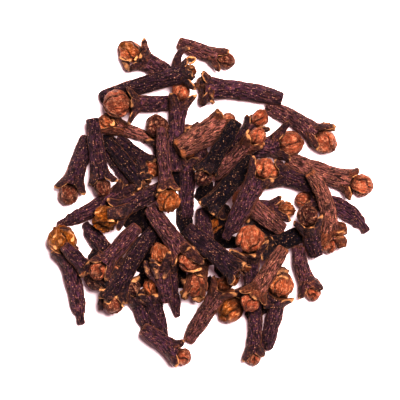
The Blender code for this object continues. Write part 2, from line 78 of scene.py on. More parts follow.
# Pixels of the tail's end and of the bud's centre; widths of the stem and the bud in mm; the turn about
# its own axis in degrees; the form; the stem's tone, from 0 for near black to 1 for reddish; and the
# bud's bloom, from 0 for dark and shut to 1 for split and golden. The form says what is left of the
# clove: its bud, with a worn stub of a tail too, no bud, or a stub and no bud.
ROWS = (
    ("a1", (174, 77), (129, 51), 3.3, 4.3, 0, BUD, 0.6, 0.7),
    ("a6", (150, 139), (107, 122), 2.4, 3.8, 20, BUD, 0.85, 0.7),
    ("a7", (167, 184), (157, 126), 2.7, 4.5, 40, BUD, 0.5, 0.12),
    ("a12", (222, 160), (260, 118), 2.7, 3.4, 10, BUD, 0.3, 0.45),
    ("a14", (266, 106), (327, 140), 3.1, 4.6, 0, BUD, 0.65, 0.35),
    ("a16", (178, 42), (226, 60), 2.8, 3.4, 0, BUD, 0.7, 0.2),
    ("a17", (287, 159), (362, 186), 3.5, 4.4, 0, BUD, 0.85, 0.45),
    ("a18", (205, 172), (195, 131), 2.7, 3.0, 0, OPEN, 0.6, 0.4),
    ("a10", (187, 218), (187, 152), 2.7, 3.0, 0, BUD, 0.4, 0.7),
    ("b1", (88, 136), (68, 194.5), 3.3, 4.0, 0, BUD, 0.3, 0.2),
    ("b5", (105, 150), (135, 188), 2.3, 3.0, 45, BUD, 0.3, 0.3),
    ("b4", (117, 138), (152, 169), 2.7, 3.4, 0, BUD, 0.2, 0.6),
    ("e7", (57, 225), (122, 191), 2.8, 3.0, 0, BARE, 0.4, 0.4),
    ("e5", (84, 223), (116, 266), 3.0, 3.6, 30, STUB, 0.3, 0.4),
    ("e1", (81, 325), (63, 240), 3.0, 5.5, 0, STUB, 0.5, 1.0),
    ("e9", (144, 214), (170, 262), 2.5, 3.2, 45, BUD, 0.2, 0.3),
    ("f4", (147, 328), (132, 289), 2.7, 3.3, 30, BUD, 0.3, 0.0),
    ("f3", (163, 340), (150, 288), 3.0, 2.5, 20, BUD, 0.35, 0.7),
    ("f2", (177, 317), (170, 256), 1.9, 3.0, 0, BUD, 0.55, 0.5),
    ("c6", (368, 232), (304, 196), 3.2, 3.0, 30, STUB, 0.45, 0.35),
    ("c3", (322, 189), (273, 172), 3.1, 3.2, 0, BUD, 0.3, 0.6),
    ("c8", (247, 206), (287, 209), 2.9, 3.2, 0, BUD, 0.5, 0.75),
    ("c10", (288, 243), (244, 210), 2.7, 3.2, 45, BUD, 0.1, 0.3),
    ("c11", (322, 226), (267, 248), 3.1, 3.2, 0, OPEN, 0.0, 0.1),
    ("c12", (299, 246), (311, 294), 2.8, 3.2, 0, BUD, 0.6, 0.35),
    ("c15", (268, 274), (230, 309), 2.9, 5.3, 45, BUD, 0.6, 0.75),
    ("c18", (222, 178), (214, 225), 2.8, 3.5, 45, BUD, 0.3, 0.9),
    ("c17", (207, 243), (195, 287), 2.7, 4.7, 20, BUD, 0.9, 0.4),
    ("f8", (247, 318), (278, 297), 2.5, 3.0, 45, BUD, 0.15, 0.3),
    ("f7", (256, 298), (254, 359), 2.6, 2.8, 0, BUD, 0.5, 0.3),
    ("d5", (202, 209), (207, 258), 3.2, 3.4, 0, OPEN, 0.3, 0.3),
    ("c19", (267, 349), (281, 284), 3.0, 4.8, 20, BUD, 0.4, 0.65),
    ("a13", (238, 152), (291, 143), 3.6, 4.9, 0, BUD, 0.4, 0.4),
    ("a2", (100, 98), (187, 73), 3.2, 3.4, 0, OPEN, 0.25, 0.3),
    ("a3", (178, 103), (116, 104), 2.9, 5.4, 0, BUD, 0.4, 0.3),
    ("a15", (283, 99), (207, 88), 3.5, 3.4, 0, OPEN, 0.5, 0.4),
    ("a4", (175, 172), (180, 92), 2.9, 3.6, 0, BUD, 0.55, 0.45),
    ("b3", (106, 140), (141, 182), 2.8, 3.2, 0, OPEN, 0.15, 0.5),
    ("b2", (92, 118), (102, 188), 3.0, 3.4, 0, BUD, 0.3, 0.15),
    ("e2", (64, 245), (95, 279), 2.8, 4.2, 30, BUD, 0.35, 0.0),
    ("e8", (166, 186), (106, 218), 3.2, 5.0, 20, BUD, 0.3, 1.0),
    ("e6", (155, 230), (111, 303), 3.2, 4.0, 0, BUD, 0.22, 0.2),
    ("f5", (142, 328), (183, 357), 3.2, 3.4, 0, BUD, 0.5, 0.3),
    ("c16", (188, 341), (225, 283), 3.1, 3.0, 0, BUD, 0.75, 0.65),
    ("a11", (214, 177), (258, 136), 2.9, 3.4, 45, BUD, 0.8, 0.5),
    ("c1", (254, 157), (211, 206), 3.4, 3.4, 0, OPEN, 0.05, 0.2),
    ("c9", (283, 230), (240, 198), 3.3, 3.2, 0, BUD, 0.8, 0.4),
    ("f1", (166, 302), (160, 252), 2.8, 3.7, 0, BUD, 0.55, 0.7),
    ("d1", (149, 207), (189, 261), 3.5, 4.2, 0, BUD, 0.65, 0.4),
    ("c13", (252, 292), (250, 238), 3.1, 5.5, 0, BUD, 0.35, 0.55),
    ("a5", (161, 127), (168, 201), 2.5, 4.4, 0, BUD, 0.65, 0.8),
    ("a8", (177, 150), (229, 120), 4.5, 2.9, 0, BUD, 0.95, 0.3),
    ("a9", (237, 121), (203, 177), 2.9, 3.6, 0, BUD, 0.05, 0.0),
    ("c2", (225, 239), (263, 168), 3.6, 3.9, 0, STUB, 0.45, 0.6),
    ("d3", (186, 228), (237, 272), 3.6, 3.4, 0, OPEN, 0.2, 0.3),
    ("c7", (316, 256), (307, 215), 3.4, 4.2, 0, BUD, 0.3, 0.1),
    ("c5", (309, 172), (333, 245), 3.0, 3.4, 0, BUD, 1.0, 0.4),
    ("c14", (284, 247), (250, 302), 3.0, 3.7, 0, BUD, 0.95, 0.4),
    ("e3", (138, 226), (98, 271), 3.1, 3.5, 0, BUD, 0.6, 0.35),
)
# How far the bent stems bow to their left, in mm; all others are straight.
BOWS = {
    "a14": 0.5, "a17": -0.2, "e7": -0.5, "e1": -0.2, "c6": -1.5, "c12": -0.5,
    "a2": 0.2, "a15": -0.5, "a4": 0.2, "e6": -0.7, "c5": 1.2,
}
LEANS = {"c17": 25, "c13": 18, "c7": 20, "e3": 7.5}  # in degrees; all others lean as they come to lie
CLOVES = [Clove(*row, BOWS.get(row[0], 0.0), LEANS.get(row[0])) for row in ROWS]
NUMBER = {clove.name: number for number, clove in enumerate(CLOVES)}


def has_bud(clove):
    """True unless the clove has lost its bud."""
    return clove.form in (BUD, STUB)


print(len(CLOVES), "cloves,", sum(map(has_bud, CLOVES)), "of them with a bud")

# %% [markdown]
# ## Formulas used throughout
#
# A few formulas come back in every surface. A bell curve makes a local bump, a parabola makes a bent
# axis, and a direction that turns about an axis makes the rings over which a skin is stretched.

# %% Formulas
EAST, NORTH, UP = np.eye(3)


def hump(x, middle, width):
    """A bell curve: 1 at the middle, a third one width away, and near 0 two widths away."""
    return np.exp(-(((x - middle) / width) ** 2))


def parabola(start, bend, end, t):
    """The curve that leaves start towards the bend and comes from there to the end, at shares t of it."""
    return (1 - t) ** 2 * start + 2 * t * (1 - t) * bend + t**2 * end


def unit(vectors):
    """Each vector divided by its own length."""
    return vectors / np.linalg.norm(vectors, axis=-1)[..., None]


def heading(start, bend, end, t):
    """The unit vectors along that parabola."""
    return unit((1 - t) * (bend - start) + t * (end - bend))


def circle(count):
    """Evenly spaced angles round a circle."""
    return np.arange(count) * 2 * np.pi / count


def spoke(angle, left, up):
    """The direction at an angle about an axis: cosine x left + sine x up."""
    return np.cos(angle)[..., None] * left + np.sin(angle)[..., None] * up


def dice(seed, clove):
    """Random numbers of a clove's own, the same each time this file runs."""
    return np.random.default_rng(seed + NUMBER[clove.name])


# %% [markdown]
# ## How high each clove lies
#
# A dropped stick stops as low as what is under it allows. So the cloves are laid one after the other.
# Each is a row of balls along its axis. For a given tilt, the height that clears every ball already
# there is easy to find, and the clove takes the tilt at which its middle lies lowest.

# %% Axis and heights
NEST = 0.88  # two touching cloves sink into each other to this share of their radii
STEEPEST = math.tan(math.radians(20))
SLOPES = 61  # how many slopes between the steepest two are tried
SAMPLES = 15
FIRST_SAMPLE = 0.04  # the station of the first ball
LYING = 0.86  # on the table a clove's axis is this share of its radius high
AXIS_STEP = 0.02  # the share of a clove over which the direction of its axis is measured


def on_table(pixel):
    """The point of the table under a pixel, in mm."""
    return np.array([(pixel[0] - ORIGIN_PIXEL[0]) * PIXEL, (ORIGIN_PIXEL[1] - pixel[1]) * PIXEL])


def stem_profile(clove):
    """Stations and widths of its stem."""
    if clove.form in (STUB, BARE):
        return STUB_STATIONS, STUB_WIDTHS
    return STEM_STATIONS, STEM_WIDTHS


def plan_length(clove):
    """The distance in plan from its tail to its head."""
    return np.linalg.norm(on_table(clove.head) - on_table(clove.tail))


def plan_line(clove):
    """Tail, middle, neck and head of the bowed axis in plan, and the neck's share of the way."""
    tail, head = on_table(clove.tail), on_table(clove.head)
    along = (head - tail) / plan_length(clove)
    behind = NECK_BEHIND_BUD * clove.bud if has_bud(clove) else 0.0
    neck = head - along * behind
    left = np.array([-along[1], along[0]])
    middle = (tail + neck) / 2 + left * 2 * clove.bow
    return tail, middle, neck, head, np.linalg.norm(neck - tail) / plan_length(clove)


def plan_point(clove, station):
    """A parabola from the tail (station 0) to the neck (station 1), drawn towards the middle point."""
    tail, middle, neck, _, _ = plan_line(clove)
    return parabola(tail, middle, neck, np.asarray(station, float)[..., None])


def balls_along(clove):
    """The clove as a row of balls: places in plan, shares of the way from tail to head, and radii."""
    _, _, _, head, share = plan_line(clove)
    stations = np.linspace(FIRST_SAMPLE, 1.0, SAMPLES)
    radii = np.interp(stations, *stem_profile(clove)) * clove.stem / 2
    head_width = clove.bud if has_bud(clove) else clove.stem * OPEN_CUP_WIDTH
    places = np.vstack([plan_point(clove, stations), head])
    return places, np.append(stations * share, 1.0), np.append(radii, head_width / 2)


def settle(cloves):
    """The heights of each clove's tail and head: as low as the table and the earlier cloves allow."""
    heights = {}
    laid_places, laid_heights, laid_radii = np.zeros((0, 2)), np.zeros(0), np.zeros(0)
    for clove in cloves:
        places, shares, radii = balls_along(clove)
        reach = (radii[:, None] + laid_radii) * NEST
        apart = np.linalg.norm(places[:, None] - laid_places, axis=2)
        over = laid_heights + np.sqrt(np.clip(reach**2 - apart**2, 0, None))
        over = np.where(apart < reach, over, 0.0)
        least = np.maximum(radii * LYING, over.max(axis=1, initial=0.0))
        slopes = np.linspace(-STEEPEST, STEEPEST, SLOPES)
        if clove.lean is not None:
            slopes = np.array([math.tan(math.radians(clove.lean))])
        climbs = slopes * plan_length(clove)
        middles = (least - climbs[:, None] * (shares - 0.5)).max(axis=1)
        best = int(np.argmin(middles))
        low, high = middles[best] - climbs[best] / 2, middles[best] + climbs[best] / 2
        heights[clove.name] = (low, high)
        laid_places = np.vstack([laid_places, places])
        laid_heights = np.append(laid_heights, low + (high - low) * shares)
        laid_radii = np.append(laid_radii, radii)
    return heights


HEIGHTS = settle(CLOVES)
print("highest head: %.1f mm" % max(high for _, high in HEIGHTS.values()))


def axis_frames(clove, stations):
    """Points on the axis in space, with the unit vectors along it, to its left and upward."""
    share = plan_line(clove)[4]
    low, high = HEIGHTS[clove.name]
    stations = np.asarray(stations, float)
    points = np.column_stack([plan_point(clove, stations), low + (high - low) * share * stations])
    ahead, back = plan_point(clove, stations + AXIS_STEP), plan_point(clove, stations - AXIS_STEP)
    climb = np.full(len(points), 2 * AXIS_STEP * (high - low) * share)
    along = unit(np.column_stack([ahead - back, climb]))
    left = unit(np.cross(UP, along))
    return points, along, left, np.cross(along, left)


def neck_frame(clove):
    """The neck's point, and the unit vectors along the axis, to its left and upward."""
    return [rows[0] for rows in axis_frames(clove, [1.0])]


# %% [markdown]
# ## Surfaces from grids
#
# Every new surface here is a tube: rows of points along it, and points round each row. One function
# turns such grids into a mesh. It joins neighbours by four-sided faces and closes both ends with a fan
# of triangles onto one point, so that the skin has no hole. Each point also carries a few numbers, such
# as how pale an edge is, which the materials read as attributes.

# %% Mesh helpers
MARKS = ("tone", "edge", "inner", "bloom", "dark")
LEAST_HEIGHT = 0.02  # mm; a skin that lies on the table is pressed flat there
WAVES = 14  # sine waves in one layer of relief
UV_SPREAD = 40  # mm; each tube starts somewhere else in its wrinkles


def waves(points, length, seed):
    """Smooth random relief: the sum of sine waves of one length in random directions, spread of one."""
    rng = np.random.default_rng(seed)
    way = unit(rng.normal(size=(WAVES, 3)))
    phase = rng.uniform(0, 2 * np.pi, WAVES)
    return np.sin(points @ way.T * (2 * np.pi / length) + phase).sum(axis=-1) * math.sqrt(2 / WAVES)


def relief(points, *layers):
    """The sum of layers of waves, each with its length in mm, its depth in mm and its seed."""
    return sum(waves(points, length, seed) * depth for length, depth, seed in layers)


def tube_faces(rows, around, first):
    """Quads between neighbouring rows, and triangles onto the two poles that follow the grid's points."""
    i, j = np.meshgrid(np.arange(rows - 1), np.arange(around), indexing="ij")
    k = (j + 1) % around
    quads = np.stack([i * around + j, i * around + k, (i + 1) * around + k, (i + 1) * around + j], -1)
    ring, after = np.arange(around), (np.arange(around) + 1) % around
    low_pole, high_pole, last = rows * around, rows * around + 1, (rows - 1) * around
    low = np.stack([after, ring, np.full(around, low_pole)], -1)
    high = np.stack([last + ring, last + after, np.full(around, high_pole)], -1)
    return quads.reshape(-1, 4) + first, np.vstack([low, high]) + first


def tube_uv(rows, around, length, girth, shift):
    """Millimetres along and round the tube at each face corner, in the order of tube_faces."""
    i, j = np.meshgrid(np.arange(rows - 1), np.arange(around), indexing="ij")
    corners = [(i, j), (i, j + 1), (i + 1, j + 1), (i + 1, j)]
    u = np.stack([a * length / (rows - 1) for a, _ in corners], -1)
    v = np.stack([b * girth / around for _, b in corners], -1)
    quads = np.stack([u, v], -1).reshape(-1, 2) + shift
    ring = np.arange(around) * girth / around
    step = girth / around
    low = np.stack([ring + step, ring, ring], -1)
    ends = [np.stack([np.full(low.shape, at), low], -1) for at in (0.0, length)]
    ends[1][:, 0, 1], ends[1][:, 1, 1] = ring, ring + step
    return quads, np.vstack([end.reshape(-1, 2) for end in ends]) + shift


def with_poles(grid):
    """The grid's values as a list, then the mean of its first row and that of its last."""
    return np.vstack([grid.reshape(-1, grid.shape[2]), grid[0].mean(axis=0), grid[-1].mean(axis=0)])


class Piece:
    """Collects tubes and makes one mesh object of them."""

    def __init__(self, name):
        self.name = name
        self.tubes = []
        self.count = 0

    def add_tube(self, grid, shift, length, girth, **marks):
        """Adds a closed tube from a grid of rows x around x 3. A mark is one number or spreads over it."""
        rows, around = grid.shape[:2]
        points = with_poles(grid)
        points[:, 2] = np.maximum(points[:, 2], LEAST_HEIGHT)
        values = np.zeros((rows, around, len(MARKS)))
        for column, mark in enumerate(MARKS):
            values[..., column] = marks.get(mark, 0.0)
        faces = tube_faces(rows, around, self.count)
        uvs = tube_uv(rows, around, length, girth, shift)
        self.tubes.append((points, with_poles(values), *faces, *uvs))
        self.count += len(points)

    def build(self, material):
        """Makes the object, with faces in the order of the tubes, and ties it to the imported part."""
        points, values, quads, fans, *uvs = (np.vstack(parts) for parts in zip(*self.tubes))
        mesh = bpy.data.meshes.new(self.name)
        mesh.vertices.add(len(points))
        mesh.vertices.foreach_set("co", (points * MM).astype(np.float32).ravel())
        corners = np.concatenate([quads.ravel(), fans.ravel()])
        starts = np.concatenate([np.arange(len(quads)) * 4, len(quads) * 4 + np.arange(len(fans)) * 3])
        mesh.loops.add(len(corners))
        mesh.loops.foreach_set("vertex_index", corners.astype(np.int32))
        mesh.polygons.add(len(starts))
        mesh.polygons.foreach_set("loop_start", starts.astype(np.int32))
        mesh.update(calc_edges=True)
        mesh.validate()
        uv = mesh.uv_layers.new(name="along_and_round")
        uv.data.foreach_set("uv", np.vstack(uvs).astype(np.float32).ravel())
        for mark, column in zip(MARKS, values.T):
            layer = mesh.attributes.new(mark, "FLOAT", "POINT")
            layer.data.foreach_set("value", column.astype(np.float32))
        mesh.shade_smooth()
        mesh.materials.append(material)
        piece = bpy.data.objects.new(self.name, mesh)
        bpy.context.scene.collection.objects.link(piece)
        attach(piece, "root")
        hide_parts(NODE)
        print(self.name, len(quads) * 2 + len(fans), "triangles")


# %% [markdown]
# ## Stems
#
# The stem is the fleshy base of the flower. Drying shrinks it into a blunt four-sided rod with long
# wrinkles and a pebbled skin. A profile carried along the axis gives the rod. Its radius is then
# multiplied by a square-ish term, by ridges that run lengthwise and wander a little, and by fine relief.
# The tail ends in a broken, slightly hollow face, and the neck flares and turns inward to a shallow cup.

# %% Stem surface
STEM_SEED = 1000
STEM_AROUND = 32
BODY_ROWS = 37
TAIL_SHARES = (0.25, 0.5, 0.7, 0.84, 0.94)  # radii of the tail's face, as shares of the first ring's
TAIL_FORWARD = (0.12, 0.05, 0.02, 0.08, 0.22)  # and how far they stand ahead of its end, in its radii
TAIL_LENGTH = 0.45  # the first ring's distance from that end, in the same radii
TAIL_EDGES = (0.2, 0.35, 0.6, 0.6, 0.5, 0.4, 0.2)  # how pale the broken face and the first rings are
CUP_SHARES = (1.0, 0.9, 0.68, 0.3)  # radii of the cup's rings, as shares of the rim's
CUP_FORWARD = (0.22, 0.36, 0.28, 0.12)  # and how far they stand ahead of the neck, in mm
CUP_INSIDE = 3  # rings that lie inside the cup
OPEN_CUP_DEPTH = (0.0, 0.0, 0.55, 0.55)  # how much deeper they lie where the bud is lost
STUB_RING_STATION, STUB_RING_WIDTH, STUB_RING_HEIGHT = 0.175, 0.02, 0.2  # the bead behind a worn stub
NECK_EDGE, NECK_EDGE_WIDTH = 0.25, 0.03
SQUARE = 0.035  # how much the four sides flatten the round stem
RIDGES = ((2, 0.022), (5, 0.022), (7, 0.02), (11, 0.014))  # their number round the stem, and their depth
RIDGE_WANDER = 0.25  # radians
STEM_RELIEF = ((3.4, 0.045, 7), (1.3, 0.03, 8), (0.62, 0.025, 9))


def stem_rows(clove):
    """Station, step forward in mm and radius in mm for each row, from the tail's face to the cup."""
    tail, rim = clove.stem / 2 * np.array(stem_profile(clove)[1])[[0, -1]]
    length = np.linalg.norm(plan_point(clove, 1.0) - plan_point(clove, 0.0))
    body = np.linspace(TAIL_LENGTH * tail / length, 1.0, BODY_ROWS)
    radii = np.interp(body, *stem_profile(clove)) * clove.stem / 2
    soft = np.convolve(np.pad(radii, 2, mode="edge"), np.ones(5) / 5, mode="valid")
    if clove.form in (STUB, BARE):
        soft += STUB_RING_HEIGHT * hump(body, STUB_RING_STATION, STUB_RING_WIDTH)
    cup_forward = np.array(CUP_FORWARD)
    if not has_bud(clove):
        cup_forward = cup_forward - OPEN_CUP_DEPTH
    station = np.concatenate([np.zeros(len(TAIL_SHARES)), body, np.ones(len(CUP_SHARES))])
    forward = np.concatenate([np.array(TAIL_FORWARD) * tail, np.zeros(BODY_ROWS), cup_forward])
    radius = np.concatenate([np.array(TAIL_SHARES) * soft[0], soft, np.array(CUP_SHARES) * rim])
    return station, forward, radius


def stem_grid(clove):
    """Rings about the axis; radius = profile x (1 + square term + wandering ridges) + fine relief."""
    rng = dice(STEM_SEED, clove)
    station, forward, radius = stem_rows(clove)
    points, along, left, up = axis_frames(clove, station)
    points = points + along * forward[:, None]
    angle = math.radians(clove.roll) + circle(STEM_AROUND)
    turn = angle + RIDGE_WANDER * np.sin(station * rng.uniform(2, 4) + rng.uniform(0, 6))[:, None]
    ridges = sum(
        depth * np.sin(count * turn + rng.uniform(0, 6) + rng.uniform(-2.5, 2.5) * station[:, None])
        for count, depth in RIDGES
    )
    square = SQUARE * np.cos(4 * turn)
    around = spoke(angle, left[:, None], up[:, None])
    flat = points[:, None] + around * (radius[:, None] * (1 + square + ridges))[..., None]
    fade = np.clip(radius / (clove.stem * 0.3), 0, 1)[:, None]
    return flat + around * (relief(flat, *STEM_RELIEF) * fade)[..., None], station


def add_stem(piece, clove):
    """A stem, pale on the tail's broken face and at the rim of the neck, and of another skin in its cup."""
    grid, station = stem_grid(clove)
    tail, inner = np.zeros(len(station)), np.zeros(len(station))
    tail[: len(TAIL_EDGES)] = np.array(TAIL_EDGES) * min(1.0, 0.45 + 0.6 * clove.tone**2)
    inner[-CUP_INSIDE:] = 1.0
    edge = np.maximum(hump(station, 1.0, NECK_EDGE_WIDTH) * NECK_EDGE, tail)
    marks = {"tone": clove.tone, "edge": edge[:, None], "inner": inner[:, None], "bloom": clove.bloom}
    shift = dice(0, clove).uniform(0, UV_SPREAD, 2)
    piece.add_tube(grid, shift, plan_length(clove), np.pi * clove.stem, **marks)


# %% [markdown]
# ## Sepals
#
# Four thick scales stand round the neck. They are darker outside, orange-brown within, and pale along
# their dry margins. Each is a flattened tube on a curved spine: it leaves the collar outward, bends
# towards the bud, and narrows to a blunt tip.
#
# Where a tip shows from above, the list gives its pixel. How high it stands follows from its length: a
# tip that lies beside the axis points sideways, and one that lies over the axis points up. The tips that
# don't show fill the free quarters round the neck.

# %% Where the sepals point
SEPALS = 4
SEPAL_TIPS = {
    "a1": ((144, 38), (128, 70), (140, 57)),
    "a2": ((193, 76), (195, 90)),
    "a3": ((127, 87), (129, 125), (132, 104)),
    "a4": ((171, 93), (196, 95)),
    "a5": ((180, 190), (159, 191)),
    "a6": ((110, 111), (99, 131)),
    "a7": ((146, 141), (170, 139)),
    "a8": ((218, 111), (238, 123)),
    "a9": ((193, 169), (207, 172)),
    "a10": ((178, 157), (197, 158)),
    "a11": ((262, 147), (248, 136)),
    "a12": ((247, 115), (271, 129)),
    "a13": ((289, 121), (291, 160)),
    "a14": ((336, 126), (318, 150)),
    "a15": ((203, 71), (202, 106), (213, 96)),
    "a16": ((230, 51), (220, 71)),
    "a17": ((360, 170), (350, 200)),
    "a18": ((202, 123),),
    "b1": ((54, 188), (84, 195)),
    "b2": ((90, 185), (118, 181)),
    "b3": ((139, 190), (153, 177)),
    "b4": ((157, 160), (147, 175)),
    "b5": ((124, 186), (141, 181)),
    "e1": ((51, 252), (75, 246)),
    "e2": ((112, 289), (88, 262), (83, 275)),
    "e3": ((90, 261), (106, 281)),
    "e5": ((112, 274), (125, 266)),
    "e6": ((99, 298), (124, 304), (105, 302)),
    "e7": ((121, 181), (134, 195), (138, 185)),
    "e8": ((107, 199), (118, 231)),
    "f1": ((170, 251),),
    "f3": ((138, 295), (157, 295)),
    "f4": ((123, 294), (142, 290)),
    "f5": ((177, 367), (184, 341)),
    "f7": ((243, 362), (264, 357)),
    "d1": ((173, 266), (189, 248), (204, 264)),
    "d3": ((244, 263), (231, 284)),
    "c1": ((213, 215), (199, 203)),
    "c2": ((253, 156), (273, 180)),
    "c3": ((275, 159), (265, 188)),
    "c5": ((346, 231), (321, 246)),
    "c6": ((303, 210), (318, 189)),
    "c7": ((322, 215), (308, 229), (294, 222)),
    "c8": ((281, 196), (291, 221)),
    "c11": ((272, 238), (261, 259), (266, 245)),
    "c12": ((323, 290), (300, 299)),
    "c13": ((229, 250), (268, 240), (254, 255)),
    "c14": ((239, 291), (265, 305), (254, 298)),
    "c16": ((214, 276), (237, 294)),
    "c17": ((183, 297), (201, 276), (203, 298)),
    "c19": ((293, 300), (264, 308)),
}
SEPAL_SEED = 2000
SEPAL_STAND = 0.75  # how much further than the collar a tip stands from the axis, in mm, at least
SEPAL_RAISE = 1.15  # a tip stands at least this many times as far from the axis as it looks from above
SEPAL_FORWARD = 1.2  # how far an unseen sepal reaches ahead of the neck, in mm
SEPAL_LENGTHS = (0.6, 1.2)  # the shortest and the longest of them, as shares of that reach
SEPAL_SPARE = 0.5  # the share by which an unseen sepal on top is shorter
SEPAL_WANDER = 0.1  # spread of the angles of unseen sepals, in radians
SEPAL_ROOT, SEPAL_SUNK = 0.5, 1.3  # the root is this share of the collar off the axis, and mm behind it
SEPAL_BEND = (0.9, 0.2, 0.25)  # where the spine bends: shares of the collar, of the stand, of the reach


def sepal_lines(clove):
    """Root, bend and tip of each sepal's spine, the direction in which it stands off, and the axis."""
    rng = dice(SEPAL_SEED, clove)
    neck, along, left, up = neck_frame(clove)
    collar = clove.stem * STEM_WIDTHS[-1] / 2
    stand = collar + SEPAL_STAND
    level = np.linalg.norm(along[:2])
    listed = []
    for pixel in SEPAL_TIPS.get(clove.name, ()):
        offset = on_table(pixel) - neck[:2]
        aside = offset @ left[:2]
        lift = math.sqrt(max(stand, SEPAL_RAISE * abs(aside)) ** 2 - aside**2)
        ahead = (offset @ along[:2] / level + lift * along[2]) / level
        listed.append((math.atan2(lift, aside), ahead, math.hypot(lift, aside)))
    base = listed[0][0] if listed else math.radians(clove.roll)
    quarters = [base + turn for turn in circle(SEPALS)]
    for angle, _, _ in listed:
        nearest = min(quarters, key=lambda quarter: abs(math.remainder(quarter - angle, 2 * math.pi)))
        quarters.remove(nearest)
    for quarter in quarters:
        angle = quarter + rng.normal(0, SEPAL_WANDER)
        ahead = SEPAL_FORWARD * rng.uniform(*SEPAL_LENGTHS)
        listed.append((angle, ahead * (1 - SEPAL_SPARE * max(0.0, math.sin(angle))), stand))
    wide, off, forward = SEPAL_BEND
    for angle, ahead, away in listed:
        outward = spoke(angle, left, up)
        root = neck + outward * collar * SEPAL_ROOT - along * SEPAL_SUNK
        bend = neck + outward * (wide * collar + off * (away - collar)) + along * forward * ahead
        tip = neck + outward * away + along * ahead
        yield root, bend, tip, outward, along


# %% Sepal surface
SEPAL_SPREAD_SEED = 2500
SEPAL_ROWS, SEPAL_AROUND = 16, 16
SEPAL_WIDTH, SEPAL_THICKNESS = 2.9, 1.3
SEPAL_WIDTHS = (0.85, 1.08)  # the narrowest and the widest, as shares of that width
SEPAL_FULL_SIZE = 3.1  # the stem whose sepals have this size
SEPAL_LEAST_SHARE = 0.55  # what a sepal keeps of its size on the thinnest stem
SEPAL_RELIEF = ((1.1, 0.04, 21), (0.5, 0.02, 22))
SCALE_NARROWING, SCALE_THINNING = 0.38, 0.35  # what width and thickness lose towards the tip
SCALE_LEAST_WIDTH, SCALE_LEAST_THICKNESS = 0.08, 0.04
SCALE_CUP = 0.28


def scale_grid(root, bend, tip, outward, along, width, thickness):
    """A lens across the spine that narrows to the tip and is cupped towards the clove's axis."""
    t = np.linspace(0, 1, SEPAL_ROWS)
    spine, way = (curve(root, bend, tip, t[:, None]) for curve in (parabola, heading))
    across = np.cross(along, outward)
    face = np.cross(across, way)
    face *= -np.sign(face @ outward)[:, None]
    half = width / 2 * (1 - SCALE_NARROWING * t) * (1 - t**6) ** 0.5 + SCALE_LEAST_WIDTH
    thick = thickness / 2 * (1 - SCALE_THINNING * t) * (1 - t**8) ** 0.5 + SCALE_LEAST_THICKNESS
    b = circle(SEPAL_AROUND)
    cup = SCALE_CUP * half[:, None] * np.cos(b) ** 2
    offset = face[:, None] * (np.sin(b) * thick[:, None] + cup)[..., None]
    return spine[:, None] + across * (half[:, None] * np.cos(b))[..., None] + offset, t, b


def add_sepals(piece, clove):
    """The four scales of a clove, pale along both margins and at the tip, with another skin inside."""
    rng = dice(SEPAL_SPREAD_SEED, clove)
    size = SEPAL_LEAST_SHARE + (1 - SEPAL_LEAST_SHARE) * clove.stem / SEPAL_FULL_SIZE
    for root, bend, tip, outward, along in sepal_lines(clove):
        width = SEPAL_WIDTH * rng.uniform(*SEPAL_WIDTHS) * size
        grid, t, b = scale_grid(root, bend, tip, outward, along, width, SEPAL_THICKNESS * size)
        grid = grid + relief(grid, *SEPAL_RELIEF)[..., None]
        # Pale near both margins, on the inner side, and at the tip, but not at the root; then worn.
        rim = hump(np.abs(np.cos(b)), 0.86, 0.2) * np.clip(np.sin(b) * 4 + 1.2, 0, 1)
        edge = np.maximum(rim, t[:, None] ** 9) * np.clip(t * 3 - 0.3, 0, 1)[:, None]
        edge = edge * np.clip(0.95 + 0.35 * waves(grid, 1.4, 23), 0, 1.1)
        inner = np.clip(np.sin(b) * 1.6, 0, 1)
        marks = {"tone": clove.tone, "edge": edge, "inner": inner, "bloom": clove.bloom}
        shift = rng.uniform(0, UV_SPREAD, 2)
        piece.add_tube(grid, shift, np.linalg.norm(tip - root), 2 * width, **marks)


# %% [markdown]
# ## Buds
#
# The unopened petals overlap like shingles and make a ball. From above each petal has one free edge that
# curls over the next, so the radius rises slowly round the ball and drops at four curved steps which
# meet at the top. A clove that dried late has split: some petals stand off and one has gone.

# %% Bud surface
BUD_SEED, BUD_SHIFT_SEED = 3000, 3500
BUD_ROWS, BUD_AROUND = 26, 68
BUD_ENDS = (0.985, 0.02)  # the first and the last ring, as shares of half a turn from the top
PETALS = 4
PETAL_SWIRL = (0.6, 1.5)  # how far the free edges wind about the ball, in radians
PETAL_WANDER = 0.13  # and how far they stray, in petals
PETAL_STEP = 0.12  # the share of a petal over which its free edge drops
PETAL_LIFT, SPLIT_LIFT = 0.12, 0.04  # how high that edge stands, in radii, and how much more on a split bud
PETAL_STANDS = (0.1, -0.26, 0.04, -0.1)  # how far a split bud's petals stand off, in radii
SPLIT_BLOOM = 0.4  # the bloom from which a bud is split
PINCH, PINCH_WIDTH = 0.06, 0.06  # the furrow under a free edge
NARROW_BUD = 2.6  # mm; a narrower bud is half as long again as it is wide
BUD_SMALLER = 0.08  # what the round ball leaves for the petals' lift, in radii
BUD_POINT, BUD_POINT_WIDTH = 0.1, 0.28
BUD_RELIEF = ((2.6, 0.05, 31), (1.0, 0.03, 32))


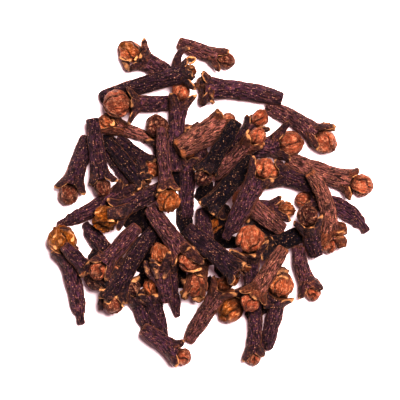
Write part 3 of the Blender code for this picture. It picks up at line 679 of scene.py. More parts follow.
def bud_grid(clove):
    """A ball with its pole on the axis; radius = ball x (1 + saw-tooth of the petals + splits) + relief.

    With it come three marks: the petals' margins, where a petal has gone, and painted crevice shade.
    """
    rng = dice(BUD_SEED, clove)
    neck, along, left, up = neck_frame(clove)
    radius = clove.bud / 2
    centre = neck + along * NECK_BEHIND_BUD * clove.bud
    theta = np.linspace(*BUD_ENDS, BUD_ROWS)[:, None] * np.pi
    phi = circle(BUD_AROUND)[None, :]
    swirl = rng.uniform(*PETAL_SWIRL) * rng.choice([-1, 1])
    turn = (phi + swirl * (np.pi - theta) / np.pi + rng.uniform(0, 6)) * PETALS / (2 * np.pi)
    sphere = np.sin(theta)[..., None] * spoke(phi, EAST, NORTH) + np.cos(theta)[..., None] * UP
    turn = turn + PETAL_WANDER * waves(sphere, 1.6, NUMBER[clove.name])
    # Each whole turn is one petal, and place runs from 0 to 1 across it, up to its free edge.
    petal, place = np.floor(turn).astype(int) % PETALS, turn % 1.0
    step = np.clip((1 - place) / PETAL_STEP, 0, 1)
    step = step * step * (3 - 2 * step)
    crown = np.clip(np.sin(theta), 0, 1) ** 0.5
    split = max(0.0, clove.bloom - SPLIT_BLOOM) / (1 - SPLIT_BLOOM)
    stand = rng.permutation(PETAL_STANDS) * split
    front = np.clip(1.25 - 1.3 * theta / np.pi, 0, 1)
    lift = (PETAL_LIFT + SPLIT_LIFT * split) * place * step * crown + stand[petal] * step * front
    pinch = -PINCH * hump(np.minimum(place, 1 - place), 0, PINCH_WIDTH) * crown
    ball = radius * (1 + lift + pinch - BUD_SMALLER)
    tall = 1.5 if clove.bud < NARROW_BUD else 1.0
    height = np.cos(theta) * (ball * tall + BUD_POINT * radius * hump(theta, 0, BUD_POINT_WIDTH))
    ring = spoke(phi, left, up) * (ball * np.sin(theta))[..., None]
    flat = centre + along * height[..., None] + ring
    gone = np.clip(-stand[petal] * 6, 0, 1) * front
    layers = (*BUD_RELIEF, (0.5, 0.015 + 0.06 * gone, 33), (1.2, 0.12 * split, 35))
    grid = flat + (flat - centre) / radius * relief(flat, *layers)[..., None]
    margin = hump(place, 0.82, 0.06) * crown * np.clip(0.9 + 0.5 * waves(flat, 1.5, 34), 0, 1)
    # Painted shade: black in the crevice under each free edge, and at the back of the ball towards the
    # neck.
    crevice_shade = np.clip(1.3 * hump(place, 0.03, 0.08), 0, 1) * crown
    return grid, margin, gone, np.maximum(crevice_shade, np.clip((theta / np.pi - 0.62) * 3, 0, 0.8))


def add_bud(piece, clove):
    """The bud of a clove, whose margins are the paler the more it has split."""
    grid, margin, gone, crevice_shade = bud_grid(clove)
    edge = margin * (0.3 + 0.5 * clove.bloom)
    marks = {"tone": clove.tone, "edge": edge, "inner": gone, "bloom": clove.bloom, "dark": crevice_shade}
    shift = dice(BUD_SHIFT_SEED, clove).uniform(0, UV_SPREAD, 2)
    piece.add_tube(grid, shift, clove.bud * 1.5, np.pi * clove.bud, **marks)


# %% [markdown]
# ## Open heads
#
# Where the bud has dropped off, the cup shows what it covered: a ring of curled threads, the stamens,
# round a low dark disc, and here and there a dry petal that stayed behind.

# %% Threads and petals of an open head
HEAD_SEED = 4000
THREADS, LOOSE_PETALS = 12, 2
THREAD_ROWS, THREAD_AROUND = 9, 6
THREAD_WIDTH = 0.34
THREAD_WIDTHS = (0.8, 1.3)  # the thinnest and the thickest, as shares of that width
THREAD_WANDER = 0.15  # spread of their angles round the rim, in radians
THREAD_ROOTS = (0.35, 0.72)  # how far from the axis they stand, as shares of the rim's radius
THREAD_SUNK = 0.35  # mm
THREAD_LENGTHS = (0.8, 1.6)  # mm
THREAD_STARTS, THREAD_CURLS = (-0.3, 0.4), (-2.6, 1.0)  # first slope, and how far it turns, in radians
PETAL_WIDTH, PETAL_THICKNESS = 1.5, 0.3
PETAL_ROOT, PETAL_SUNK = 0.3, 0.3  # share of the rim's radius, and mm
PETAL_OUTWARD, PETAL_FORWARD = (0.4, 0.9), (0.8, 1.5)  # how far the tip lies from the root, in mm
PETAL_BEND = (0.9, 0.3)  # the same for the place where it bends


def thread_grid(root, along, outward, length, start, curl, width):
    """A round thread on a spine whose slope turns steadily, thickest at its head."""
    t = np.linspace(0, 1, THREAD_ROWS)
    slope = start + curl * t
    way, face = spoke(slope, along, outward), spoke(slope - np.pi / 2, along, outward)
    spine = root + np.cumsum(way, axis=0) * length / (THREAD_ROWS - 1)
    radius = width / 2 * (0.8 + 0.5 * hump(t, 0.9, 0.12))
    ring = spoke(circle(THREAD_AROUND), np.cross(along, outward), face[:, None])
    return spine[:, None] + ring * radius[:, None, None]


def add_open_head(piece, clove):
    """The threads and petals of a clove, each with its own root, length and curl."""
    rng = dice(HEAD_SEED, clove)
    neck, along, left, up = neck_frame(clove)
    rim = clove.stem * STEM_WIDTHS[-1] / 2
    for turn in circle(THREADS):
        outward = spoke(turn + rng.normal(0, THREAD_WANDER), left, up)
        root = neck + outward * rim * rng.uniform(*THREAD_ROOTS) - along * THREAD_SUNK
        length, start = rng.uniform(*THREAD_LENGTHS), rng.uniform(*THREAD_STARTS)
        curl = rng.uniform(*THREAD_CURLS)
        width = THREAD_WIDTH * rng.uniform(*THREAD_WIDTHS)
        grid = thread_grid(root, along, outward, length, start, curl, width)
        marks = {"tone": clove.tone, "edge": rng.uniform(0, 0.3), "inner": 0.4, "bloom": clove.bloom}
        piece.add_tube(grid, rng.uniform(0, UV_SPREAD, 2), 2.0, 1.0, **marks)
    for _ in range(LOOSE_PETALS):
        outward = spoke(rng.uniform(0, 2 * math.pi), left, up)
        root = neck + outward * rim * PETAL_ROOT - along * PETAL_SUNK
        tip = root + outward * rng.uniform(*PETAL_OUTWARD) + along * rng.uniform(*PETAL_FORWARD)
        bend = root + outward * PETAL_BEND[0] + along * PETAL_BEND[1]
        grid, t, b = scale_grid(root, bend, tip, outward, along, PETAL_WIDTH, PETAL_THICKNESS)
        marks = {"tone": clove.tone, "edge": 0.6 * np.cos(b) ** 4, "inner": 0.9, "bloom": 0.8}
        piece.add_tube(grid, rng.uniform(0, UV_SPREAD, 2), 2.0, 3.0, **marks)


# %% [markdown]
# ## Curled petals and odd sepals
#
# Three of the open heads and one bud keep dry petals that have rolled into loops. Many other heads have
# a sepal or a petal that points its own way, like a finger. Each is a thin tube drawn through pixels of
# the view, at a height above the neck of its own clove.

# %% Loops and fingers
# The clove, the width in mm, how pale the upper side is, the height above the neck in mm, and the pixels.
FINGERS = (
    ("f1", 1.2, 0.5, 0.8, ((152, 277), (148, 272), (146, 266), (146, 260))),
    ("f1", 1.8, 0.5, 1.1, ((157, 279), (155, 268), (153, 257))),
    ("f1", 1.3, 0.5, 0.9, ((163, 279), (167, 271), (168, 263), (164, 256))),
    ("f4", 1.3, 0.6, 0.6, ((127, 282), (134, 281), (140, 277))),
    ("f3", 1.5, 0.5, 0.6, ((148, 305), (143, 301), (138, 295))),
    ("c17", 1.3, 0.7, 1.7, ((181, 279), (187, 284))),
    ("c17", 1.4, 0.7, 0.8, ((182, 290), (186, 300))),
    ("c17", 1.4, 0.7, 1.1, ((192, 296), (198, 300), (204, 296))),
    ("d1", 1.6, 0.5, 1.2, ((186, 245), (193, 249), (199, 255))),
    ("e2", 0.8, 0.5, 1.3, ((88, 285), (92, 288), (98, 288))),
    ("e2", 0.9, 0.5, 1.0, ((99, 288), (106, 290), (112, 296))),
    ("e6", 1.2, 0.3, -0.4, ((105, 289), (101, 298), (101, 311))),
    ("e6", 0.8, 1.0, 1.5, ((98, 290), (106, 290), (114, 294), (120, 300), (124, 308))),
    ("e6", 2.4, 0.2, 0.3, ((119, 270), (113, 278), (106, 288))),
    ("e3", 2.9, 0.2, -1.6, ((107, 268), (101, 260), (95, 254))),
    ("e8", 2.9, 0.3, 2.6, ((132, 207), (120, 213), (107, 214))),
    ("a14", 1.7, 0.8, 1.2, ((316, 128), (326, 126), (336, 129))),
    ("e8", 0.9, 1.0, 2.6, ((105, 219), (110, 220), (115, 221))),
    ("e1", 0.9, 0.6, 1.6, ((50, 237), (53, 231), (60, 229), (68, 230), (73, 235))),
    ("e1", 0.9, 1.0, 2.5, ((60, 233), (62, 236), (64, 239))),
    ("e1", 0.8, 1.0, 2.0, ((71, 233), (73, 237), (72, 242))),
    ("e1", 1.3, 1.0, 1.4, ((50, 244), (53, 248), (57, 249))),
    ("a1", 0.8, 1.0, 1.4, ((119, 56), (123, 59), (128, 60), (131, 61))),
    ("a1", 1.3, 1.0, 1.7, ((143, 57), (138, 59), (135, 57))),
    ("a1", 1.4, 0.5, 0.2, ((123, 59), (126, 64), (128, 70))),
    ("a6", 0.8, 1.0, 2.1, ((110, 119), (114, 121), (113, 125), (109, 124))),
    ("a6", 1.0, 1.0, 0.2, ((109, 130), (104, 131), (99, 131))),
    ("a6", 0.9, 0.9, 1.6, ((118, 118), (112, 113), (107, 111))),
    ("a18", 1.8, 0.4, 0.6, ((191, 130), (197, 127), (200, 123))),
    ("a18", 1.5, 0.6, 0.4, ((183, 127), (190, 128), (195, 130))),
    ("c19", 1.6, 0.7, 1.6, ((272, 280), (274, 273), (281, 270), (289, 273))),
    ("c19", 1.0, 0.9, 2.4, ((276, 282), (281, 276), (289, 279))),
    ("c19", 1.5, 0.6, 1.8, ((279, 297), (277, 290), (276, 284))),
    ("d1", 0.8, 1.0, 0.9, ((181, 264), (186, 270), (194, 271), (203, 268))),
    ("a15", 2.2, 0.4, 0.2, ((209, 84), (204, 80), (200, 79))),
    ("a15", 2.0, 0.3, 0.4, ((208, 88), (204, 88), (200, 87))),
    ("a15", 2.2, 0.4, 0.0, ((208, 94), (204, 97), (202, 104))),
    ("a15", 1.1, 0.5, 0.5, ((207, 82), (204, 90), (203, 99), (201, 105))),
    ("a15", 1.0, 0.6, 0.7, ((207, 92), (210, 98), (214, 104))),
    ("c5", 2.6, 0.3, 0.5, ((334, 225), (341, 229), (343, 236))),
    ("c5", 2.4, 0.4, 1.0, ((335, 233), (341, 240), (343, 248))),
)
CURLS = (
    ("a2", 0.75, 0.9, 0.9, ((184, 61), (188, 57), (194, 57), (196, 60), (193, 63), (187, 64), (184, 62))),
    ("a2", 1.5, 0.2, 0.5, ((184, 61), (189, 60), (195, 60))),
    ("a2", 1.1, 0.5, 0.4, ((184, 66), (188, 68), (192, 68), (194, 66))),
    ("a2", 0.6, 0.2, 1.0, ((188, 72), (191, 72), (194, 75), (193, 79), (190, 78), (189, 75))),
    ("a2", 0.9, 0.0, 0.3, ((189, 84), (193, 86), (196, 88), (195, 82))),
    ("a15", 1.1, 0.1, 0.8, ((208, 86), (205, 80), (203, 74), (201, 72))),
    ("a15", 1.0, 0.1, 0.0, ((204, 79), (199, 78), (197, 82), (199, 88), (201, 96))),
    ("e6", 0.5, 1.0, 1.9, ((105, 297), (107, 304), (110, 304), (112, 297))),
    ("b3", 0.6, 0.7, 0.8, ((139, 178), (140, 173), (144, 172), (147, 176), (143, 178))),
    ("b3", 0.7, 0.8, 0.6, ((146, 178), (150, 175), (154, 176))),
    ("b3", 0.8, 0.4, 0.4, ((138, 180), (141, 186), (137, 191), (133, 193))),
)
FINGER_SECTION, LOOP_SECTION = (1.0, 0.75), (0.55, 1.2)  # widths across and upright
FINGER_DIP = 0.5  # the share by which a finger's root lies lower
FINGER_INSIDE, LOOP_INSIDE = 0.1, 0.5  # how much of them has the colour of a sepal's inside
CURL_ROWS, CURL_AROUND = 24, 8
CURL_SMOOTHING = 2  # each point is the mean of itself and of so many on either side
CURL_RELIEF = (0.9, 0.05, 51)


def add_curl(piece, section, inner, dip, owner, width, edge, rise, pixels):
    """A tube along a smoothed line through pixels; its root is lower by the share dip of its rise."""
    clove = CLOVES[NUMBER[owner]]
    neck = neck_frame(clove)[0]
    corners = np.array([on_table(pixel) for pixel in pixels])
    run = np.append(0, np.cumsum(np.linalg.norm(np.diff(corners, axis=0), axis=1)))
    at = np.linspace(0, run[-1], CURL_ROWS)
    line = np.stack([np.interp(at, run, corners[:, axis]) for axis in (0, 1)], -1)
    padded = np.pad(line, ((CURL_SMOOTHING, CURL_SMOOTHING), (0, 0)), mode="edge")
    window = 2 * CURL_SMOOTHING + 1
    line = sum(padded[start : start + CURL_ROWS] for start in range(window)) / window
    spine = np.column_stack([line, neck[2] + rise * (1 - dip * np.linspace(1, 0, CURL_ROWS) ** 2)])
    left = np.cross(UP, unit(np.gradient(spine, axis=0)))
    b = circle(CURL_AROUND)
    taper = width / 2 * (0.55 + 0.45 * np.sin(np.linspace(0.15, 0.9, CURL_ROWS) * np.pi))
    ring = spoke(b, section[0] * left[:, None], section[1] * UP)
    grid = spine[:, None] + ring * taper[:, None, None]
    grid = grid + relief(grid, CURL_RELIEF)[..., None]
    marks = {"tone": clove.tone, "edge": edge * np.clip(np.sin(b), 0, 1), "inner": inner, "bloom": 0.6}
    piece.add_tube(grid, np.zeros(2), run[-1], 2.0, **marks)


# %% [markdown]
# ## The hooked sepal
#
# One open head keeps a long sepal that arches over the stem beside it. It is a tapered tube on a curve
# through three places: its own collar, a high bend, and the stem that it touches.

# %% Hooked sepal
HOOK_OWNER, HOOK_CATCH = "a2", "a16"
HOOK_PIXELS = ((176, 69), (177, 47), (190, 48))
HOOK_ROWS, HOOK_AROUND = 18, 14
HOOK_WIDTHS = (1.9, 0.6)
HOOK_THINNER = 0.75  # its thickness over its width
HOOK_RISE = 0.6  # mm that its bend stands above its root
HOOK_SEAT = 0.4  # its tip's height above the axis of the stem it touches, in widths of that stem
HOOK_RELIEF = (1.2, 0.04, 41)


def height_at(clove, pixel):
    """The height of a clove's axis where it passes a pixel."""
    tail, head = on_table(clove.tail), on_table(clove.head)
    share = (on_table(pixel) - tail) @ (head - tail) / plan_length(clove) ** 2
    low, high = HEIGHTS[clove.name]
    return low + (high - low) * share


def add_hook(piece):
    """A tube on a parabola from the owner's collar to the caught stem, its width falling evenly."""
    owner, catch = CLOVES[NUMBER[HOOK_OWNER]], CLOVES[NUMBER[HOOK_CATCH]]
    low, high = height_at(catch, HOOK_PIXELS[2]), height_at(owner, HOOK_PIXELS[0])
    rises = high, high + HOOK_RISE, low + catch.stem * HOOK_SEAT
    places = [np.append(on_table(pixel), rise) for pixel, rise in zip(HOOK_PIXELS, rises)]
    t = np.linspace(0, 1, HOOK_ROWS)[:, None]
    spine, along = parabola(*places, t), heading(*places, t)
    left = unit(np.cross(UP, along))
    up = np.cross(along, left)
    radius = (HOOK_WIDTHS[0] + (HOOK_WIDTHS[1] - HOOK_WIDTHS[0]) * t) / 2
    ring = spoke(circle(HOOK_AROUND), left[:, None], HOOK_THINNER * up[:, None])
    grid = spine[:, None] + ring * radius[:, None]
    grid = grid + relief(grid, HOOK_RELIEF)[..., None]
    piece.add_tube(grid, np.zeros(2), 6.0, 5.0, tone=0.5, edge=t**3, inner=0.2, bloom=0.3)


# %% [markdown]
# ## Shared effects for the materials
#
# Stems, sepals, buds and threads are one dried skin in different states. Two node groups hold what they
# share: the fine grain, with pale specks of dried oil on a dark ground, and the long wrinkles.

# %% Node helpers and groups
SPECK_SCALE = 3000.0  # specks to the metre
PATCH_SCALE, BLOTCH_SCALE = 1500.0, 520.0  # the same for brown patches and for black blotches


def feed(tree, socket, value):
    """Links a socket to another one, or sets it to a value."""
    if isinstance(value, bpy.types.NodeSocket):
        tree.links.new(value, socket)
    else:
        socket.default_value = value


def node(tree, kind, **inputs):
    """A node whose inputs are linked or set by their names."""
    made = tree.nodes.new(kind)
    for name, value in inputs.items():
        feed(tree, made.inputs[name], value)
    return made


def group(name, inputs, outputs):
    """A new node group, with the sockets that its own nodes read and write."""
    tree = bpy.data.node_groups.new(name, "ShaderNodeTree")
    for label, kind, value in inputs:
        socket = tree.interface.new_socket(label, in_out="INPUT", socket_type=kind)
        if value is not None:
            socket.default_value = value
    for label in outputs:
        tree.interface.new_socket(label, in_out="OUTPUT", socket_type="NodeSocketFloat")
    return tree, tree.nodes.new("NodeGroupInput").outputs, tree.nodes.new("NodeGroupOutput").inputs


def maths(tree, operation, a, b, clamp=False):
    """One step of arithmetic on two values."""
    made = tree.nodes.new("ShaderNodeMath")
    made.operation = operation
    made.use_clamp = clamp
    feed(tree, made.inputs[0], a)
    feed(tree, made.inputs[1], b)
    return made.outputs[0]


def times(tree, a, b, clamp=False):
    """The product of two values."""
    return maths(tree, "MULTIPLY", a, b, clamp)


def noise(tree, vector, scale, detail=3.0, rough=0.55):
    """Soft random values about one half."""
    made = node(tree, "ShaderNodeTexNoise", Vector=vector, Scale=scale, Detail=detail, Roughness=rough)
    return made.outputs["Fac"]


def ramp(tree, value, low, high):
    """Maps low to 0 and high to 1, smoothly."""
    made = node(tree, "ShaderNodeMapRange", **{"Value": value, "From Min": low, "From Max": high})
    made.interpolation_type = "SMOOTHSTEP"
    return made.outputs["Result"]


def blend(tree, share, a, b):
    """A colour that is a where the share is 0, and b where it is 1."""
    made = tree.nodes.new("ShaderNodeMix")
    made.data_type = "RGBA"
    for number, value in ((0, share), (6, a), (7, b)):
        feed(tree, made.inputs[number], value)
    return made.outputs[2]


def shared(tree, effect, label, value):
    """The outputs of a node group that reads one value."""
    made = tree.nodes.new("ShaderNodeGroup")
    made.node_tree = effect
    feed(tree, made.inputs[label], value)
    return made.outputs


def pebbled_grain():
    """Grain on Object coordinates: specks, patches, blotches and the height of the pebbled skin."""
    tree, given, out = group(
        "pebbled_grain",
        (("Vector", "NodeSocketVector", None), ("Speck Scale", "NodeSocketFloat", SPECK_SCALE)),
        ("Specks", "Patches", "Blotches", "Height"),
    )
    vector, scale = given["Vector"], given["Speck Scale"]
    fine = noise(tree, vector, scale, 3.0, 0.6)
    cells = node(tree, "ShaderNodeTexVoronoi", Vector=vector, Scale=scale).outputs
    chosen = node(tree, "ShaderNodeSeparateColor", Color=cells["Color"]).outputs["Red"]
    dots = maths(tree, "SUBTRACT", 1.0, ramp(tree, cells["Distance"], 0.15, 0.5))
    lit = times(tree, dots, ramp(tree, chosen, 0.35, 0.85))
    lit = times(tree, lit, ramp(tree, fine, 0.4, 0.6))
    patches = ramp(tree, noise(tree, vector, PATCH_SCALE, 4.0, 0.7), 0.47, 0.64)
    blotches = ramp(tree, noise(tree, vector, BLOTCH_SCALE, 4.0), 0.38, 0.62)
    pits = maths(tree, "SUBTRACT", 1.0, cells["Distance"])
    height = maths(tree, "ADD", times(tree, pits, 0.5), fine)
    for label, value in (("Specks", lit), ("Patches", patches), ("Blotches", blotches), ("Height", height)):
        tree.links.new(value, out[label])
    return tree


def long_wrinkles():
    """Wrinkles that run along the piece's own length, from its UV map in millimetres."""
    across, along = ("Across", "NodeSocketFloat", 3.0), ("Along", "NodeSocketFloat", 0.8)
    tree, given, out = group(
        "long_wrinkles", (("UV", "NodeSocketVector", None), across, along), ("Furrows", "Height")
    )
    axes = node(tree, "ShaderNodeCombineXYZ", X=given["Along"], Y=given["Across"], Z=1.0)
    drawn = tree.nodes.new("ShaderNodeVectorMath")
    drawn.operation = "MULTIPLY"
    feed(tree, drawn.inputs[0], given["UV"])
    feed(tree, drawn.inputs[1], axes.outputs[0])
    folds = noise(tree, drawn.outputs[0], 1.0, 4.0, 0.65)
    tree.links.new(ramp(tree, folds, 0.4, 0.6), out["Furrows"])
    tree.links.new(folds, out["Height"])
    return tree


GRAIN, WRINKLES = pebbled_grain(), long_wrinkles()
print("groups:", GRAIN.name, WRINKLES.name)

# %% [markdown]
# ## The four skins
#
# The stem's skin runs from near black with a blue cast to a reddish brown, clove by clove, and the blue
# cast is partly a painted sheen of the white light. Sepals are the same outside but turn orange within
# and tan at the dry margin. Buds go from dark red-brown to golden ochre where they have split. The threads
# of an open head are a dull dark brown. All are quite rough, with a faint oily gloss, and all get a
# painted brown rim light where they are seen edge on.

# %% Materials
BLACK = (0.008, 0.004, 0.005, 1)
GOLD = (0.6, 0.24, 0.04, 1)
BROWN_AND_RIM_LIGHT = (0.32, 0.118, 0.052, 1)  # the brown of the patches, and a painted rim light where the skin is seen edge on
RIM_LIGHT_SHARE = 0.75
BLOTCH_SHARE, CREVICE_SHADE_SHARE = 0.45, 0.85  # how black the blotches are, and the painted shade in the buds' crevices
BROWN_START = 0.35  # even the darkest stem has this much of its brown patches
SPECKS_IN_FURROWS = 0.2  # what is left of the specks down in the furrows
MARGIN_WEAR = -0.3  # blotches eat this much of a pale margin
SPECK_POLISH = 0.15  # how much smoother a speck is
FOLD_HEIGHT = 2.5  # the wrinkles' height over the grain's


def skin(
    name, ground, specks, margin, inside, roughness, depth, speck_share=0.8, gloss=0.16,
    patchy=0.0, lines=0.6, brown=0.55,
):
    """One dried skin: ground colours by tone, then coats over them, each laid by its own share.

    The shares come from the grain, the wrinkles and the point's marks. Depth is that of the bumps, in mm.
    """
    material = bpy.data.materials.new(name)
    material.use_nodes = True
    tree = material.node_tree
    uv = tree.nodes.new("ShaderNodeUVMap")
    uv.uv_map = "along_and_round"
    marks = {}
    for mark in MARKS:
        made = tree.nodes.new("ShaderNodeAttribute")
        made.attribute_name = mark
        marks[mark] = made.outputs["Fac"]
    place = tree.nodes.new("ShaderNodeTexCoord").outputs["Object"]
    grain = shared(tree, GRAIN, "Vector", place)
    folds = shared(tree, WRINKLES, "UV", uv.outputs["UV"])
    # A bud's ground follows its own bloom, and that of all others the tone of the stem.
    tone = marks["bloom"] if name == "bud_skin" else marks["tone"]
    golden = blend(tree, ramp(tree, tone, 0.6, 1.0), specks, GOLD)
    browned = times(tree, maths(tree, "ADD", marks["tone"], BROWN_START, True), brown)
    # Painted shade: black laid into the low parts of the long wrinkles, as much as lines says.
    shade = times(tree, maths(tree, "SUBTRACT", 1.0, folds["Furrows"]), lines)
    streaked = times(tree, folds["Furrows"], 1 - SPECKS_IN_FURROWS)
    streaked = maths(tree, "ADD", streaked, SPECKS_IN_FURROWS)
    speck = times(tree, grain["Specks"], streaked)
    worn = maths(tree, "ADD", marks["edge"], times(tree, grain["Blotches"], MARGIN_WEAR))
    # Painted rim light: brown laid where the skin is seen edge on, from the Layer Weight's facing.
    rim_light_facing = node(tree, "ShaderNodeLayerWeight", Blend=0.5).outputs["Facing"]
    coats = (
        (ramp(tree, tone, 0.0, 0.5), ground[1]),
        (ramp(tree, tone, 0.5, 1.0), ground[2]),
        (ramp(tree, marks["inner"], 0.2, 0.8), inside),
        (times(tree, grain["Patches"], patchy), golden),
        (times(tree, grain["Patches"], browned), BROWN_AND_RIM_LIGHT),
        (times(tree, grain["Blotches"], BLOTCH_SHARE), BLACK),
        (shade, BLACK),
        (times(tree, speck, speck_share, True), specks),
        (ramp(tree, worn, 0.15, 0.8), margin),
        # painted shade in the buds' crevices and at the back of each bud
        (times(tree, marks["dark"], CREVICE_SHADE_SHARE), BLACK),
        # the painted rim light
        (times(tree, ramp(tree, rim_light_facing, 0.5, 0.9), RIM_LIGHT_SHARE), BROWN_AND_RIM_LIGHT),
    )
    colour = ground[0]
    for share, coat in coats:
        colour = blend(tree, share, colour, coat)
    height = maths(tree, "ADD", times(tree, folds["Height"], FOLD_HEIGHT), grain["Height"])
    bump = node(tree, "ShaderNodeBump", Height=height, Strength=1.0, Distance=depth * MM)
    shader = tree.nodes["Principled BSDF"].inputs
    feed(tree, shader["Base Color"], colour)
    polish = times(tree, grain["Specks"], SPECK_POLISH)
    feed(tree, shader["Roughness"], maths(tree, "SUBTRACT", roughness, polish))
    feed(tree, shader["Specular IOR Level"], gloss)
    feed(tree, shader["Normal"], bump.outputs[0])
    return material


STEM_SKIN = skin(
    "stem_skin",
    # The blue cast of the two darker tones is partly a painted sheen of the white light.
    ground=((0.008, 0.006, 0.015, 1), (0.125, 0.046, 0.076, 1), (0.37, 0.14, 0.108, 1)),
    specks=(0.85, 0.46, 0.27, 1),
    margin=(0.5, 0.18, 0.06, 1),
    inside=(0.06, 0.016, 0.008, 1),
    roughness=0.6,
    depth=0.55,
    gloss=0.12,
    lines=0.85,
)
SEPAL_SKIN = skin(
    "sepal_skin",
    ground=((0.015, 0.008, 0.014, 1), (0.057, 0.019, 0.026, 1), (0.15, 0.042, 0.02, 1)),
    specks=(0.45, 0.21, 0.12, 1),
    margin=(0.6, 0.29, 0.13, 1),
    inside=(0.22, 0.05, 0.01, 1),
    roughness=0.5,
    depth=0.4,
    gloss=0.2,
)
BUD_SKIN = skin(
    "bud_skin",
    ground=((0.05, 0.01, 0.011, 1), (0.4, 0.102, 0.045, 1), (0.27, 0.075, 0.008, 1)),
    specks=(0.85, 0.42, 0.25, 1),
    margin=(0.72, 0.37, 0.17, 1),
    inside=(0.3, 0.09, 0.006, 1),
    roughness=0.32,
    depth=0.4,
    speck_share=0.6,
    gloss=0.15,
    patchy=0.5,
    lines=0.45,
    brown=0.0,
)
THREAD_SKIN = skin(
    "thread_skin",
    ground=((0.035, 0.018, 0.017, 1), (0.065, 0.028, 0.02, 1), (0.12, 0.045, 0.024, 1)),
    specks=(0.3, 0.15, 0.09, 1),
    margin=(0.5, 0.23, 0.1, 1),
    inside=(0.1, 0.035, 0.014, 1),
    roughness=0.6,
    depth=0.15,
)

# %% [markdown]
# ## Mounds deep in the heap
#
# A low mound fills the heart of the heap, as deep inside as the hidden cloves would be. Smaller ones are
# the backs of cloves deep in the shade, seen through its gaps. All are near black, a painted shade for
# what lies deep under the cloves. Each is a wavy ellipse that shrinks upward like a dome.

# %% Mounds
# Pixel of the middle, half length and half width in mm, turn in degrees, height in mm.
MOUNDS = (
    (ORIGIN_PIXEL, 3.9, 3.9, 0, 3.0),
    ((109, 139), 1.5, 0.9, -20, 1.5),
    ((175, 179), 2.3, 1.4, 90, 1.5),
    ((204, 191), 2.3, 1.3, 45, 1.5),
    ((184, 219), 3.2, 1.6, 95, 1.5),
    ((136, 218), 2.9, 1.6, 45, 1.5),
    ((144, 228), 1.3, 0.9, 60, 1.3),
    ((145, 260), 2.8, 1.3, 65, 1.5),
    ((142, 280), 1.5, 1.2, 60, 1.3),
    ((181, 276), 2.5, 1.1, 90, 1.5),
    ((228, 242), 2.5, 1.3, -5, 1.5),
    ((209, 284), 1.5, 0.8, 80, 1.3),
    ((221, 270), 1.7, 1.2, -60, 1.4),
    ((97, 257), 1.9, 1.6, 20, 2.2),
)
MOUND_ROWS, MOUND_AROUND = 10, 30
MOUND_RISE = (0.02, 1.0)  # shares of the height at the first row and the last
MOUND_CLOSING = 0.92  # how near to a full dome it comes
MOUND_LOBES, MOUND_LOBE_DEPTH = 7, 0.05
MOUND_LENGTH, MOUND_GIRTH = 5.0, 25.0  # mm, by which its wrinkles are spaced
# near black: painted shade for mounds deep in the shade of the cloves above
MOUND_SHADE_TONE = 0.1


def mound_grid(pixel, half_length, half_width, turn, height):
    """A wavy ellipse that shrinks from the foot to the top along a quarter of an ellipse."""
    t = np.linspace(*MOUND_RISE, MOUND_ROWS)
    share = np.sqrt(1 - (t * MOUND_CLOSING) ** 2)
    b = circle(MOUND_AROUND)
    lengthwise, sideways = (spoke(math.radians(turn + more), EAST[:2], NORTH[:2]) for more in (0, 90))
    ring = spoke(b, half_length * lengthwise, half_width * sideways)
    ring = ring * (1 + MOUND_LOBE_DEPTH * np.cos(MOUND_LOBES * b))[:, None]
    grid = np.empty((MOUND_ROWS, MOUND_AROUND, 3))
    grid[..., :2] = on_table(pixel) + share[:, None, None] * ring
    grid[..., 2] = (t * height)[:, None]
    return grid


# %% [markdown]
# ## Building the heap
#
# All stems go into one mesh, all sepals into another, and so on: one piece for each kind.

# %% Build the pieces
stems, sepals, buds, hearts, core = (
    Piece(name) for name in ("clove_stems", "clove_sepals", "clove_buds", "open_heads", "hidden_core")
)
for clove in CLOVES:
    add_stem(stems, clove)
    add_sepals(sepals, clove)
    if has_bud(clove):
        add_bud(buds, clove)
    else:
        add_open_head(hearts, clove)
add_hook(sepals)
for finger in FINGERS:
    add_curl(sepals, FINGER_SECTION, FINGER_INSIDE, FINGER_DIP, *finger)
for curl in CURLS:
    add_curl(hearts, LOOP_SECTION, LOOP_INSIDE, 0.0, *curl)
for mound in MOUNDS:
    core.add_tube(mound_grid(*mound), np.zeros(2), MOUND_LENGTH, MOUND_GIRTH, tone=MOUND_SHADE_TONE)

stems.build(STEM_SKIN)
sepals.build(SEPAL_SKIN)
buds.build(BUD_SKIN)
hearts.build(THREAD_SKIN)
core.build(STEM_SKIN)

# %% [markdown]
# ## Table, light and camera
#
# A pale table, a wide soft light above to the right, and a faint surround give the short soft shadows.
# The table is so bright that it shows white, and its warm tint is seen only in the shadows, together with
# a faint pink glow from the table itself, a painted bounce light from the cloves. The camera looks
# straight down from far away, so that high and low cloves keep one scale.

# %% Table
FLOOR_SIDE = 1.2
FLOOR_COLOURS = ((0.79, 0.68, 0.69, 1), (0.83, 0.72, 0.73, 1))
FLOOR_CLOUDS = 60.0
FLOOR_SURFACE = {
    # a faint pink glow of the table: painted bounce light from the cloves, seen in the shadows
    "Emission Color": (1.0, 0.35, 0.42, 1),
    "Emission Strength": 0.08,
    "Roughness": 0.8,
    "Specular IOR Level": 0.1,
}
floor_mesh = bpy.data.meshes.new("table_top")
corners = [(x * FLOOR_SIDE / 2, y * FLOOR_SIDE / 2, 0) for x, y in ((-1, -1), (1, -1), (1, 1), (-1, 1))]
floor_mesh.from_pydata(corners, [], [(0, 1, 2, 3)])
floor = bpy.data.objects.new("table_top", floor_mesh)
bpy.context.scene.collection.objects.link(floor)
paint = bpy.data.materials.new("pale_table")
paint.use_nodes = True
tree = paint.node_tree
clouds = noise(tree, tree.nodes.new("ShaderNodeTexCoord").outputs["Object"], FLOOR_CLOUDS)
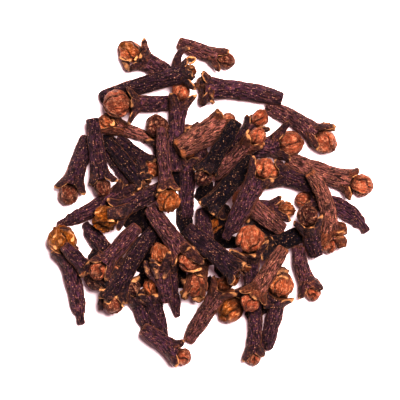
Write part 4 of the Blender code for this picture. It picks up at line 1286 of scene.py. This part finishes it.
surface = {"Base Color": blend(tree, clouds, *FLOOR_COLOURS), **FLOOR_SURFACE}
for label, value in surface.items():
    feed(tree, tree.nodes["Principled BSDF"].inputs[label], value)
floor_mesh.materials.append(paint)

# %% Lights and surround
# Places and sizes in metres, power in watts, and colours.
LIGHTS = {
    "key": ((0.16, 0.18, 0.76), 0.36, 19.0, (1.0, 0.99, 0.98)),
    "overhead": ((-0.02, 0.03, 0.88), 0.5, 0.85, (0.93, 0.9, 1.0)),
}
for name, (place, size, watts, colour) in LIGHTS.items():
    data = bpy.data.lights.new(name, "AREA")
    data.shape = "DISK"
    data.size = size
    data.energy = watts
    data.color = colour
    lamp = bpy.data.objects.new(name, data)
    lamp.location = place
    lamp.rotation_euler = (-Vector(place)).to_track_quat("-Z", "Y").to_euler()
    lamp.visible_camera = False
    bpy.context.scene.collection.objects.link(lamp)

SURROUND_COLOUR = (1.0, 0.88, 0.91, 1)
SURROUND_STRENGTH = 0.032
scene = bpy.context.scene
world = bpy.data.worlds.new("faint_surround")
world.use_nodes = True
background = world.node_tree.nodes["Background"].inputs
background["Color"].default_value = SURROUND_COLOUR
background["Strength"].default_value = SURROUND_STRENGTH
scene.world = world
scene.view_settings.view_transform = "Standard"
scene.view_settings.look = "None"
# A gamma under 1 deepens the dark cloves, and the exposure keeps the table white.
scene.view_settings.gamma = 0.72
scene.view_settings.exposure = 0.56

# %% Camera
CAMERA_HEIGHT = 0.9
MIDDLE_OF_HEAP = 0.005  # the height at which one pixel is PIXEL wide
view_centre = on_table((FRAME_PIXELS / 2, FRAME_PIXELS / 2)) * MM
camera_data = bpy.data.cameras.new("camera")
camera_data.sensor_width = 36.0
camera_data.lens = camera_data.sensor_width * (CAMERA_HEIGHT - MIDDLE_OF_HEAP) / (FRAME_PIXELS * PIXEL * MM)
camera_data.clip_start = 0.01
camera = bpy.data.objects.new("camera", camera_data)
camera.location = (view_centre[0], view_centre[1], CAMERA_HEIGHT)
scene.collection.objects.link(camera)
scene.camera = camera
print("lens: %.0f mm" % camera_data.lens)
